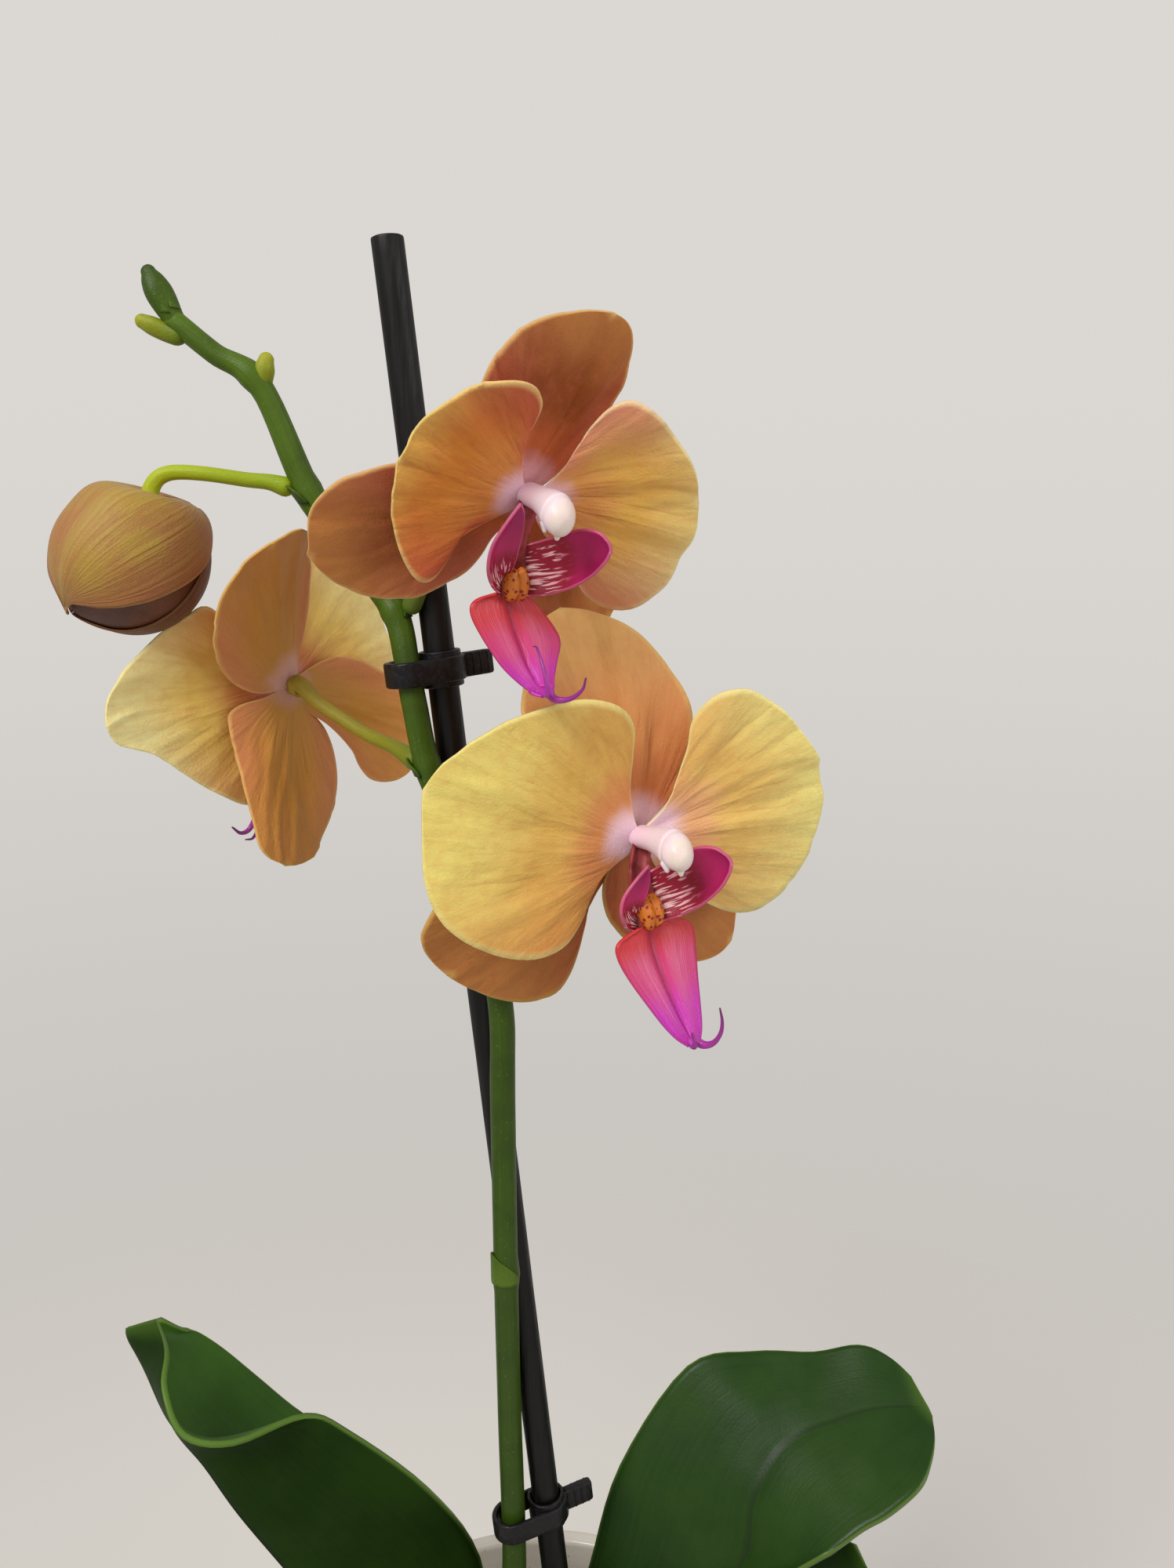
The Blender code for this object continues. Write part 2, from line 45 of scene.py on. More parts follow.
cameraSettings = {"place": (0.012, -0.235, 0.400), "down": 12.0, "lens": 27.9}

cameraData = bpy.data.cameras.new("viewCamera")
cameraData.lens = cameraSettings["lens"]
cameraData.sensor_width = 36.0
cameraData.clip_start = 0.01
viewCamera = bpy.data.objects.new("viewCamera", cameraData)
viewCamera.location = cameraSettings["place"]
viewCamera.rotation_euler = (math.radians(90 - cameraSettings["down"]), 0, 0)
bpy.context.scene.collection.objects.link(viewCamera)
bpy.context.scene.camera = viewCamera


# ---- mesh helpers

def mix(a, b, t):
    return a + (b - a) * t


def ease(low, high, x):
    t = min(1.0, max(0.0, (x - low) / (high - low)))
    return t * t * (3 - 2 * t)


def wobble(x, y, seed):
    return noise.noise(Vector((x, y, seed * 7.31)))


def smoothPath(points, steps):
    # a soft curve through knots of any width, so a radius can ride along with x, y, z
    knots = [[2 * a - b for a, b in zip(points[0], points[1])]] + [list(p) for p in points]
    knots.append([2 * a - b for a, b in zip(points[-1], points[-2])])
    path = []
    for p, q, r, s in zip(knots, knots[1:], knots[2:], knots[3:]):
        for step in range(steps):
            t = step / steps
            path.append([0.5 * (2 * b + (c - a) * t + (2 * a - 5 * b + 4 * c - d) * t ** 2
                                + (3 * b - a - 3 * c + d) * t ** 3) for a, b, c, d in zip(p, q, r, s)])
    path.append(knots[-2])
    return path


def newPart():
    return {"verts": [], "faces": [], "uvs": [], "slots": [], "fans": []}


def addGrid(part, rows, slot=0, loop=False):
    start = len(part["verts"])
    wide = len(rows[0])
    count = wide if loop else wide - 1
    for row in rows:
        part["verts"].extend(Vector(p) for p in row)
    for r in range(len(rows) - 1):
        for c in range(count):
            d = (c + 1) % wide
            part["faces"].append((start + r * wide + c, start + r * wide + d,
                                  start + (r + 1) * wide + d, start + (r + 1) * wide + c))
            low, high = r / (len(rows) - 1), (r + 1) / (len(rows) - 1)
            left, right = c / count, (c + 1) / count
            part["uvs"].append([(left, low), (right, low), (right, high), (left, high)])
            part["slots"].append(slot)
    return start


def addCap(part, first, count, slot, along, flip=False):
    ring = list(range(first, first + count))
    part["faces"].append(tuple(reversed(ring)) if flip else tuple(ring))
    part["uvs"].append([(0.5, along)] * count)
    part["slots"].append(slot)


def addTube(part, path, sides=16, slot=0, shape=None):
    # path knots are x, y, z, radius
    points = [Vector(p[:3]) for p in path]
    last = len(points) - 1
    side = None
    rows = []
    for i, point in enumerate(points):
        along = (points[min(i + 1, last)] - points[max(i - 1, 0)]).normalized()
        side = along.orthogonal() if side is None else side - along * side.dot(along)
        side.normalize()
        up = along.cross(side)
        row = []
        for s in range(sides):
            angle = 2 * math.pi * s / sides
            radius = path[i][3] * (shape(angle, i / last) if shape else 1.0)
            row.append(point + side * math.cos(angle) * radius + up * math.sin(angle) * radius)
        rows.append(row)
    start = addGrid(part, rows, slot, loop=True)
    addCap(part, start, sides, slot, 0.0, flip=True)
    addCap(part, start + last * sides, sides, slot, 1.0)


def roundOff(path, atStart=True, atEnd=True):
    # closes a tube with a domed end
    def dome(end, before):
        out = (Vector(end[:3]) - Vector(before[:3])).normalized()
        return [[*(Vector(end[:3]) + out * end[3] * reach), end[3] * share]
                for reach, share in ((0.35, 0.94), (0.68, 0.73), (0.9, 0.42), (0.98, 0.15))]
    path = [list(p) for p in path]
    head = list(reversed(dome(path[0], path[1]))) if atStart else []
    tail = dome(path[-1], path[-2]) if atEnd else []
    return head + path + tail


def makePiece(name, part, materials, nodes=(), place=None, thickness=0.0, backSlot=0):
    mesh = bpy.data.meshes.new(name)
    mesh.from_pydata([v * mm for v in part["verts"]], [], part["faces"])
    layer = mesh.uv_layers.new(name="blade")
    corner = 0
    for poly, uvs, slot in zip(mesh.polygons, part["uvs"], part["slots"]):
        poly.material_index = slot
        poly.use_smooth = True
        for uv in uvs:
            layer.data[corner].uv = uv
            corner += 1
    if part["fans"]:                # a second map that opens like a fan from the base of a blade
        fan = mesh.uv_layers.new(name="fan")
        for loop in mesh.loops:
            fan.data[loop.index].uv = part["fans"][loop.vertex_index]
    for material in materials:
        mesh.materials.append(material)
    work = bmesh.new()
    work.from_mesh(mesh)
    bmesh.ops.remove_doubles(work, verts=work.verts, dist=0.00001)
    if not backSlot:
        bmesh.ops.recalc_face_normals(work, faces=work.faces)
    work.to_mesh(mesh)
    work.free()
    piece = bpy.data.objects.new(name, mesh)
    bpy.context.scene.collection.objects.link(piece)
    if place is not None:
        piece.matrix_world = place
    if thickness:
        solid = piece.modifiers.new("thickness", "SOLIDIFY")
        solid.thickness = thickness * mm
        solid.offset = 0.0
        solid.material_offset = backSlot
        solid.material_offset_rim = 0
    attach(piece, "root")
    if nodes:
        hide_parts(*nodes)


# ---- material helpers

def srgb(red, green, blue):
    def toLinear(value):
        value = value / 255
        return value / 12.92 if value <= 0.04045 else ((value + 0.055) / 1.055) ** 2.4
    return (toLinear(red), toLinear(green), toLinear(blue), 1.0)


def put(tree, kind, sockets=None, **settings):
    item = tree.nodes.new("ShaderNode" + kind)
    for key, value in settings.items():
        setattr(item, key, value)
    for key, value in (sockets or {}).items():
        if isinstance(value, bpy.types.NodeSocket):
            tree.links.new(value, item.inputs[key])
        else:
            item.inputs[key].default_value = value
    return item


def math2(tree, operation, a, b=0.0, clamp=False):
    return put(tree, "Math", {0: a, 1: b}, operation=operation, use_clamp=clamp).outputs[0]


def times(tree, a, b):
    return math2(tree, "MULTIPLY", a, b)


def plus(tree, a, b):
    return math2(tree, "ADD", a, b)


def less(tree, a, b):
    return math2(tree, "SUBTRACT", a, b)


def fromMiddle(tree, across):
    # 0 on the middle line of a blade and 1 at either edge
    return math2(tree, "ABSOLUTE", less(tree, times(tree, across, 2.0), 1.0))


def blend(tree, factor, a, b, how="MIX"):
    item = put(tree, "Mix", data_type="RGBA", blend_type=how, clamp_factor=True)
    for socket, value in ((item.inputs[0], factor), (item.inputs[6], a), (item.inputs[7], b)):
        if isinstance(value, bpy.types.NodeSocket):
            tree.links.new(value, socket)
        else:
            socket.default_value = value
    return item.outputs[2]


def ramp(tree, factor, stops):
    item = put(tree, "ValToRGB", {0: factor})
    item.color_ramp.interpolation = "EASE"
    while len(item.color_ramp.elements) < len(stops):
        item.color_ramp.elements.new(0.5)
    for element, (place, colour) in zip(item.color_ramp.elements, stops):
        element.position = place
        element.color = colour
    return item.outputs[0]


def spread(tree, value, low, high, outLow=0.0, outHigh=1.0):
    return put(tree, "MapRange", {0: value, 1: low, 2: high, 3: outLow, 4: outHigh},
               interpolation_type="SMOOTHSTEP").outputs[0]


def newMaterial(name, **values):
    material = bpy.data.materials.new(name)
    material.use_nodes = True
    tree = material.node_tree
    shader = tree.nodes["Principled BSDF"]
    for key, value in values.items():
        shader.inputs[key.replace("_", " ")].default_value = value
    return material, tree, shader


def newGroup(name, inputs, outputs):
    group = bpy.data.node_groups.new(name, "ShaderNodeTree")
    for label, kind, value in inputs:
        socket = group.interface.new_socket(label, in_out="INPUT", socket_type="NodeSocket" + kind)
        if value is not None:
            socket.default_value = value
    for label, kind in outputs:
        group.interface.new_socket(label, in_out="OUTPUT", socket_type="NodeSocket" + kind)
    return group, group.nodes.new("NodeGroupInput"), group.nodes.new("NodeGroupOutput")


def useGroup(tree, group, **values):
    item = tree.nodes.new("ShaderNodeGroup")
    item.node_tree = group
    for key, value in values.items():
        if isinstance(value, bpy.types.NodeSocket):
            tree.links.new(value, item.inputs[key])
        else:
            item.inputs[key].default_value = value
    return item.outputs


# ---- shared effects

def makeBladeVeins():
    # fine lines that run from the base of a blade and fan out with it
    inputs = [("UV", "Vector", None), ("Fan", "Float", 26.0), ("Run", "Float", 2.0), ("Wander", "Float", 0.6),
              ("Thinness", "Float", 9.0)]
    group, given, out = newGroup("bladeVeins", inputs, [("Lines", "Float")])
    parts = put(group, "SeparateXYZ", {0: given.outputs["UV"]})
    across = times(group, less(group, parts.outputs["X"], 0.5), given.outputs["Fan"])
    along = times(group, parts.outputs["Y"], given.outputs["Run"])
    place = put(group, "CombineXYZ", {0: across, 1: along})
    cloud = put(group, "TexNoise", {"Vector": place.outputs[0], "Scale": 1.0, "Detail": 3.0,
                                    "Roughness": 0.55, "Distortion": given.outputs["Wander"]})
    ridge = math2(group, "ABSOLUTE", less(group, cloud.outputs[0], 0.5))
    line = math2(group, "SUBTRACT", 1.0, times(group, ridge, given.outputs["Thinness"]), clamp=True)
    group.links.new(line, out.inputs["Lines"])
    return group


def makeBladeMargin():
    # a mask for the rim of a blade, its two edges and its tip
    inputs = [("UV", "Vector", None), ("Width", "Float", 0.1)]
    group, given, out = newGroup("bladeMargin", inputs, [("Edge", "Float")])
    parts = put(group, "SeparateXYZ", {0: given.outputs["UV"]})
    side = fromMiddle(group, parts.outputs["X"])
    tip = math2(group, "POWER", parts.outputs["Y"], 1.3)
    reach = math2(group, "MAXIMUM", side, tip)
    start = less(group, 1.0, given.outputs["Width"])
    edge = put(group, "MapRange", {0: reach, 1: start, 2: 1.0}, interpolation_type="SMOOTHSTEP")
    group.links.new(edge.outputs[0], out.inputs["Edge"])
    return group


def makeMottle():
    # soft uneven patches
    inputs = [("Vector", "Vector", None), ("Scale", "Float", 60.0), ("Low", "Float", 0.4), ("High", "Float", 0.6)]
    group, given, out = newGroup("softMottle", inputs, [("Mask", "Float")])
    cloud = put(group, "TexNoise", {"Vector": given.outputs["Vector"], "Scale": given.outputs["Scale"],
                                    "Detail": 4.0, "Roughness": 0.55})
    mask = put(group, "MapRange", {0: cloud.outputs[0], 1: given.outputs["Low"], 2: given.outputs["High"]},
               interpolation_type="SMOOTHSTEP")
    group.links.new(mask.outputs[0], out.inputs["Mask"])
    return group


def makeCellGrain():
    # the tiny raised cells of petals, leaves and bark
    group, given, out = newGroup("cellGrain", [("Vector", "Vector", None), ("Scale", "Float", 2500.0)],
                                 [("Height", "Float")])
    cells = put(group, "TexVoronoi", {"Vector": given.outputs["Vector"], "Scale": given.outputs["Scale"]})
    cloud = put(group, "TexNoise", {"Vector": given.outputs["Vector"], "Scale": 400.0, "Detail": 3.0})
    both = plus(group, times(group, cells.outputs["Distance"], -0.5), cloud.outputs[0])
    group.links.new(both, out.inputs["Height"])
    return group


bladeVeins = makeBladeVeins()
bladeMargin = makeBladeMargin()
softMottle = makeMottle()
cellGrain = makeCellGrain()


def objectPlace(tree):
    return put(tree, "TexCoord").outputs["Object"]


def bladePlace(tree):
    return put(tree, "UVMap", uv_map="blade").outputs[0]


def bump(tree, shader, height, distance):
    relief = put(tree, "Bump", {"Strength": 1.0, "Distance": distance, "Height": height})
    tree.links.new(relief.outputs[0], shader.inputs["Normal"])


# ---- flower materials

tepalColours = {
    # flank is the tint along the two sides near the base of the blade, low the tint on its lower half,
    # heart how wide the pale centre is
    "upperLeftPetal": {"centre": (244, 200, 214), "throat": (222, 146, 70), "body": (218, 138, 50),
                       "outer": (242, 210, 110),
                       "tint": (192, 76, 62), "margin": (246, 218, 140), "flank": 0.8, "low": 0.35,
                       "heart": 0.045},
    "upperRightPetal": {"centre": (244, 200, 214), "throat": (224, 158, 84), "body": (236, 188, 90),
                        "outer": (246, 236, 162), "tint": (226, 144, 118), "margin": (252, 232, 182),
                        "flank": 0.9,
                        "low": 0.3, "heart": 0.045},
    "upperSepal": {"centre": (236, 178, 186), "throat": (200, 108, 58), "body": (152, 80, 32),
                   "outer": (200, 136, 70),
                   "tint": (212, 120, 94), "margin": (230, 190, 122), "flank": 0.6, "low": 0.0,
                   "heart": 0.05},
    "lowerPetal": {"centre": (248, 210, 222), "throat": (220, 146, 88), "body": (224, 182, 92),
                   "outer": (236, 218, 122),
                   "tint": (204, 124, 64), "margin": (244, 230, 150), "flank": 0.3, "low": 0.75,
                   "heart": 0.06},
    "lowerRightPetal": {"centre": (248, 210, 222), "throat": (236, 178, 126), "body": (232, 194, 108),
                        "outer": (240, 230, 142), "tint": (220, 152, 92), "margin": (246, 234, 162),
                        "flank": 0.35,
                        "low": 0.35, "heart": 0.06},
    "lowerSepal": {"centre": (246, 204, 214), "throat": (214, 134, 80), "body": (226, 156, 92),
                   "outer": (236, 186, 112),
                   "tint": (222, 142, 98), "margin": (240, 202, 124), "flank": 0.4, "low": 0.0,
                   "heart": 0.06},
    "lowerSideSepal": {"centre": (232, 184, 176), "throat": (196, 116, 66), "body": (176, 110, 52),
                       "outer": (192, 134, 66), "tint": (178, 90, 58), "margin": (222, 184, 98),
                       "flank": 0.5,
                       "low": 0.2, "heart": 0.04},
    "rearPetal": {"centre": (232, 178, 178), "throat": (214, 140, 84), "body": (244, 208, 108),
                  "outer": (252, 242, 172),
                  "tint": (220, 142, 88), "margin": (250, 236, 168), "flank": 0.5, "low": 0.3,
                  "heart": 0.04},
    "rearSepal": {"centre": (232, 180, 172), "throat": (206, 150, 70), "body": (206, 148, 60),
                  "outer": (214, 154, 80),
                  "tint": (216, 138, 96), "margin": (230, 186, 106), "flank": 0.75, "low": 0.0,
                  "heart": 0.04},
}


def tepalMaterial(name, colours):
    material, tree, shader = newMaterial(name, Roughness=0.55, Subsurface_Weight=0.16,
                                         Subsurface_Scale=0.0022, Sheen_Weight=0.06, Specular_IOR_Level=0.2)
    shader.inputs["Subsurface Radius"].default_value = (1.0, 0.55, 0.25)
    shader.inputs["Sheen Roughness"].default_value = 0.5
    uv = bladePlace(tree)
    fan = put(tree, "UVMap", uv_map="fan").outputs[0]
    place = objectPlace(tree)
    parts = put(tree, "SeparateXYZ", {0: fan})
    patch = useGroup(tree, softMottle, Vector=place, Scale=46.0, Low=0.25, High=0.75)["Mask"]
    reach = plus(tree, parts.outputs["Y"], times(tree, less(tree, patch, 0.5), 0.16))
    heart = colours["heart"]
    base = ramp(tree, reach, [(heart, srgb(*colours["centre"])), (heart + 0.13, srgb(*colours["throat"])),
                              (0.42, srgb(*colours["body"])), (0.84, srgb(*colours["outer"]))])
    away = spread(tree, parts.outputs["Y"], heart + 0.04, heart + 0.20)
    blade = put(tree, "SeparateXYZ", {0: uv})
    side = fromMiddle(tree, blade.outputs["X"])
    flank = times(tree, spread(tree, side, 0.25, 1.0), spread(tree, blade.outputs["Y"], 0.45, 0.85, 1.0, 0.0))
    flankHere = times(tree, flank, colours["flank"])
    below = put(tree, "SeparateXYZ", {0: place}).outputs["Y"]
    lowHere = times(tree, spread(tree, below, -0.020, 0.002, 1.0, 0.0), colours["low"])
    tinted = times(tree, math2(tree, "MAXIMUM", flankHere, lowHere), away)
    rosy = blend(tree, tinted, base, srgb(*colours["tint"]))
    freckle = useGroup(tree, softMottle, Vector=place, Scale=520.0, Low=0.42, High=0.7)["Mask"]
    freckled = blend(tree, times(tree, times(tree, freckle, away), 0.16), rosy,
                     srgb(*colours["tint"]))
    lines = useGroup(tree, bladeVeins, UV=fan, Fan=40.0, Run=2.2, Wander=0.7, Thinness=8.0)["Lines"]
    thin = times(tree, times(tree, lines, away), 0.09)
    veined = blend(tree, thin, freckled, srgb(*colours["tint"]), "MULTIPLY")
    folds = useGroup(tree, bladeVeins, UV=fan, Fan=10.5, Run=1.3, Wander=0.3, Thinness=7.0)["Lines"]
    outward = spread(tree, parts.outputs["Y"], heart + 0.12, 0.55)
    # the fold lines are also darkened and warmed in the outer blade: painted shade in the creases
    foldShaded = blend(tree, times(tree, times(tree, folds, outward), 0.13), veined,
                    srgb(188, 128, 72), "MULTIPLY")
    rim = useGroup(tree, bladeMargin, UV=uv, Width=0.07)["Edge"]
    tree.links.new(blend(tree, times(tree, rim, 0.6), foldShaded, srgb(*colours["margin"])),
                   shader.inputs["Base Color"])
    grain = useGroup(tree, cellGrain, Vector=place, Scale=2600.0)["Height"]
    height = less(tree, times(tree, folds, -1.0), times(tree, lines, 0.10))
    bump(tree, shader, plus(tree, times(tree, height, away),
                             times(tree, grain, 0.4)), 0.00026)
    return material


tepalMaterials = {name: tepalMaterial(name, colours) for name, colours in tepalColours.items()}


def sideLobeMaterial():
    material, tree, shader = newMaterial("lipSideLobe", Roughness=0.42, Subsurface_Weight=0.15,
                                         Subsurface_Scale=0.0015, Specular_IOR_Level=0.4)
    uv = bladePlace(tree)
    parts = put(tree, "SeparateXYZ", {0: uv})
    wine = ramp(tree, parts.outputs["Y"], [(0.0, srgb(244, 214, 202)), (0.22, srgb(238, 190, 196)),
                                           (0.42, srgb(186, 34, 100)), (0.95, srgb(158, 22, 92))])
    stripes = useGroup(tree, bladeVeins, UV=uv, Fan=9.0, Run=2.6, Wander=0.2, Thinness=8.0)["Lines"]
    near = spread(tree, parts.outputs["Y"], 0.36, 0.50, 1.0, 0.0)
    striped = blend(tree, times(tree, spread(tree, stripes, 0.2, 0.5), near), wine, srgb(150, 16, 48))
    rim = useGroup(tree, bladeMargin, UV=uv, Width=0.06)["Edge"]
    tree.links.new(blend(tree, times(tree, rim, 0.55), striped, srgb(222, 120, 150)),
                   shader.inputs["Base Color"])
    grain = useGroup(tree, cellGrain, Vector=objectPlace(tree), Scale=2600.0)["Height"]
    bump(tree, shader, grain, 0.00005)
    return material


def midLobeMaterial():
    material, tree, shader = newMaterial("lipMidLobe", Roughness=0.36, Subsurface_Weight=0.15,
                                         Subsurface_Scale=0.0015, Specular_IOR_Level=0.45)
    uv = bladePlace(tree)
    parts = put(tree, "SeparateXYZ", {0: uv})
    run = ramp(tree, parts.outputs["Y"], [(0.0, srgb(206, 52, 44)), (0.34, srgb(208, 56, 62)),
                                          (0.56, srgb(206, 60, 122)), (0.76, srgb(200, 50, 182))])
    side = fromMiddle(tree, parts.outputs["X"])
    # a darker line down the middle of the lobe: painted shade in its central groove
    creaseShade = spread(tree, side, 0.0, 0.13, 0.65, 0.0)
    folded = blend(tree, creaseShade, run, srgb(150, 22, 70))
    # paler pink over both cheeks of the middle of the lobe: a painted highlight
    cheekHighlight = times(tree, spread(tree, side, 0.12, 0.4), spread(tree, side, 0.42, 0.85, 1.0, 0.0))
    middle = times(tree, spread(tree, parts.outputs["Y"], 0.3, 0.55),
                   spread(tree, parts.outputs["Y"], 0.6, 0.95, 1.0, 0.0))
    pale = blend(tree, times(tree, times(tree, cheekHighlight, middle), 0.4), folded,
                 srgb(230, 120, 156))
    lines = useGroup(tree, bladeVeins, UV=uv, Fan=22.0, Run=1.3, Wander=0.5, Thinness=7.0)["Lines"]
    tree.links.new(blend(tree, times(tree, lines, 0.14), pale, srgb(170, 28, 90)),
                   shader.inputs["Base Color"])
    grain = useGroup(tree, cellGrain, Vector=objectPlace(tree), Scale=2600.0)["Height"]
    bump(tree, shader, less(tree, times(tree, grain, 0.4), lines), 0.00006)
    return material


def throatMaterial():
    material, tree, shader = newMaterial("lipThroat", Roughness=0.45, Specular_IOR_Level=0.3)
    place = objectPlace(tree)
    patch = useGroup(tree, softMottle, Vector=place, Scale=420.0, Low=0.4, High=0.7)["Mask"]
    # the throat's own deep red, made darker as painted shade in the recess under the column and between the side
    # lobes
    tree.links.new(blend(tree, patch, srgb(150, 58, 58), srgb(112, 26, 36)), shader.inputs["Base Color"])
    bump(tree, shader, useGroup(tree, cellGrain, Vector=place, Scale=1800.0)["Height"], 0.00006)
    return material


def callusMaterial():
    material, tree, shader = newMaterial("lipCallus", Roughness=0.4, Specular_IOR_Level=0.45)
    place = objectPlace(tree)
    dots = put(tree, "TexVoronoi", {"Vector": place, "Scale": 1050.0, "Randomness": 0.9})
    spot = spread(tree, dots.outputs["Distance"], 0.26, 0.42, 1.0, 0.0)
    tree.links.new(blend(tree, spot, srgb(210, 118, 34), srgb(136, 28, 26)), shader.inputs["Base Color"])
    bump(tree, shader, useGroup(tree, cellGrain, Vector=place, Scale=1500.0)["Height"], 0.00012)
    return material


def tendrilMaterial():
    material, tree, shader = newMaterial("lipTendril", Roughness=0.35)
    parts = put(tree, "SeparateXYZ", {0: bladePlace(tree)})
    tree.links.new(ramp(tree, parts.outputs["Y"], [(0.0, srgb(186, 56, 176)), (0.6, srgb(150, 44, 140)),
                                                   (1.0, srgb(90, 40, 84))]), shader.inputs["Base Color"])
    bump(tree, shader, useGroup(tree, cellGrain, Vector=objectPlace(tree), Scale=2200.0)["Height"], 0.00004)
    return material


def columnMaterial():
    material, tree, shader = newMaterial("flowerColumn", Roughness=0.38, Subsurface_Weight=0.3,
                                         Subsurface_Scale=0.002, Specular_IOR_Level=0.4)
    uv = bladePlace(tree)
    parts = put(tree, "SeparateXYZ", {0: uv})
    wax = ramp(tree, parts.outputs["Y"], [(0.0, srgb(240, 206, 222)), (0.3, srgb(238, 222, 232)),
                                          (0.66, srgb(240, 224, 230)), (0.80, srgb(240, 222, 212))])
    patch = useGroup(tree, softMottle, Vector=objectPlace(tree), Scale=260.0, Low=0.45, High=0.8)["Mask"]
    tree.links.new(blend(tree, times(tree, patch, 0.25), wax, srgb(228, 184, 208)),
                   shader.inputs["Base Color"])
    bump(tree, shader, useGroup(tree, cellGrain, Vector=objectPlace(tree), Scale=2600.0)["Height"], 0.00004)
    return material


def beakMaterial():
    material, tree, shader = newMaterial("columnCap", Roughness=0.42, Subsurface_Weight=0.2,
                                         Subsurface_Scale=0.0015)
    patch = useGroup(tree, softMottle, Vector=objectPlace(tree), Scale=420.0, Low=0.4, High=0.75)["Mask"]
    tree.links.new(blend(tree, patch, srgb(244, 226, 208), srgb(226, 184, 160)), shader.inputs["Base Color"])
    bump(tree, shader, useGroup(tree, cellGrain, Vector=objectPlace(tree), Scale=2600.0)["Height"], 0.00004)
    return material


sideLobe = sideLobeMaterial()
midLobe = midLobeMaterial()
lipThroat = throatMaterial()
callus = callusMaterial()
tendril = tendrilMaterial()
columnWax = columnMaterial()
capWax = beakMaterial()


# ---- green parts

def stemMaterial(name, low, high, streak, glow=0.1):
    material, tree, shader = newMaterial(name, Roughness=0.42, Subsurface_Weight=glow,
                                         Subsurface_Scale=0.0015, Specular_IOR_Level=0.24)
    uv = bladePlace(tree)
    place = objectPlace(tree)
    parts = put(tree, "SeparateXYZ", {0: uv})
    base = blend(tree, parts.outputs["Y"], srgb(*low), srgb(*high))
    lines = useGroup(tree, bladeVeins, UV=uv, Fan=30.0, Run=14.0, Wander=0.2, Thinness=4.0)["Lines"]
    streaked = blend(tree, times(tree, lines, 0.35), base, srgb(*streak))
    patch = useGroup(tree, softMottle, Vector=place, Scale=120.0, Low=0.4, High=0.7)["Mask"]
    mottled = blend(tree, times(tree, patch, 0.4), streaked, srgb(*streak))
    pores = put(tree, "TexVoronoi", {"Vector": place, "Scale": 700.0})
    dots = spread(tree, pores.outputs["Distance"], 0.08, 0.16, 0.22, 0.0)
    tree.links.new(blend(tree, dots, mottled, srgb(140, 156, 80)), shader.inputs["Base Color"])
    grain = useGroup(tree, cellGrain, Vector=place, Scale=1800.0)["Height"]
    bump(tree, shader, plus(tree, times(tree, lines, -0.6), grain), 0.00006)
    return material


def leafMaterial(name, dark, light, vein, roughness, shine=0.24):
    material, tree, shader = newMaterial(name, Roughness=roughness, Specular_IOR_Level=shine)
    uv = bladePlace(tree)
    place = objectPlace(tree)
    parts = put(tree, "SeparateXYZ", {0: uv})
    patch = useGroup(tree, softMottle, Vector=place, Scale=38.0, Low=0.3, High=0.72)["Mask"]
    green = blend(tree, patch, srgb(*dark), srgb(*light))
    lines = useGroup(tree, bladeVeins, UV=uv, Fan=46.0, Run=1.2, Wander=0.15, Thinness=5.0)["Lines"]
    lined = blend(tree, times(tree, lines, 0.16), green, srgb(*vein))
    side = fromMiddle(tree, parts.outputs["X"])
    # a dark line down the middle: painted shade in the midrib's channel
    midrib = spread(tree, side, 0.0, 0.05, 0.55, 0.0)
    midribShaded = blend(tree, midrib, lined, srgb(24, 40, 16))
    tipped = blend(tree, spread(tree, parts.outputs["Y"], 0.9, 1.0, 0.0, 0.4), midribShaded, srgb(84, 118, 36))
    rim = useGroup(tree, bladeMargin, UV=uv, Width=0.022)["Edge"]
    tree.links.new(blend(tree, times(tree, rim, 0.6), tipped, srgb(100, 128, 52)),
                   shader.inputs["Base Color"])
    grain = useGroup(tree, cellGrain, Vector=place, Scale=1500.0)["Height"]
    dust = useGroup(tree, softMottle, Vector=place, Scale=90.0, Low=0.35, High=0.75)["Mask"]
    uneven = spread(tree, dust, 0.0, 1.0, roughness - 0.04, roughness + 0.12)
    tree.links.new(uneven, shader.inputs["Roughness"])
    bump(tree, shader, plus(tree, times(tree, lines, 0.4), grain), 0.000035)
    return material


spikeGreen = stemMaterial("spikeGreen", (44, 68, 12), (92, 122, 24), (34, 54, 10))
stalkGreen = stemMaterial("stalkGreen", (130, 160, 26), (196, 204, 40), (150, 168, 24), 0.2)
flowerStalkGreen = stemMaterial("flowerStalkGreen", (64, 92, 16), (190, 178, 96), (84, 112, 24), 0.15)
stalkOlive = stemMaterial("stalkOlive", (96, 124, 20), (204, 168, 70), (128, 118, 24), 0.2)
budTipGreen = stemMaterial("budTipGreen", (84, 112, 18), (56, 78, 12), (44, 66, 10))
budYellowGreen = stemMaterial("budYellowGreen", (66, 96, 14), (184, 184, 48), (110, 126, 24), 0.2)
bractGreen = stemMaterial("bractGreen", (96, 122, 34), (70, 98, 20), (60, 84, 16))
crownGreen = stemMaterial("crownGreen", (96, 104, 52), (66, 92, 36), (88, 80, 44))
leafTop = leafMaterial("leafTop", (22, 52, 8), (38, 68, 16), (50, 80, 24), 0.38)
# a brighter copy of leafTop: painted light on the inner sides of the left leaves, which face away from the key
leafInnerLit = leafMaterial("leafInnerLit", (42, 80, 16), (62, 102, 30), (76, 114, 42), 0.44, 0.16)
# darker than the top: partly the underside's own duller green, partly painted shade
leafUnderShaded = leafMaterial("leafUnderShaded", (14, 36, 2), (26, 50, 6), (36, 60, 12), 0.6, 0.08)


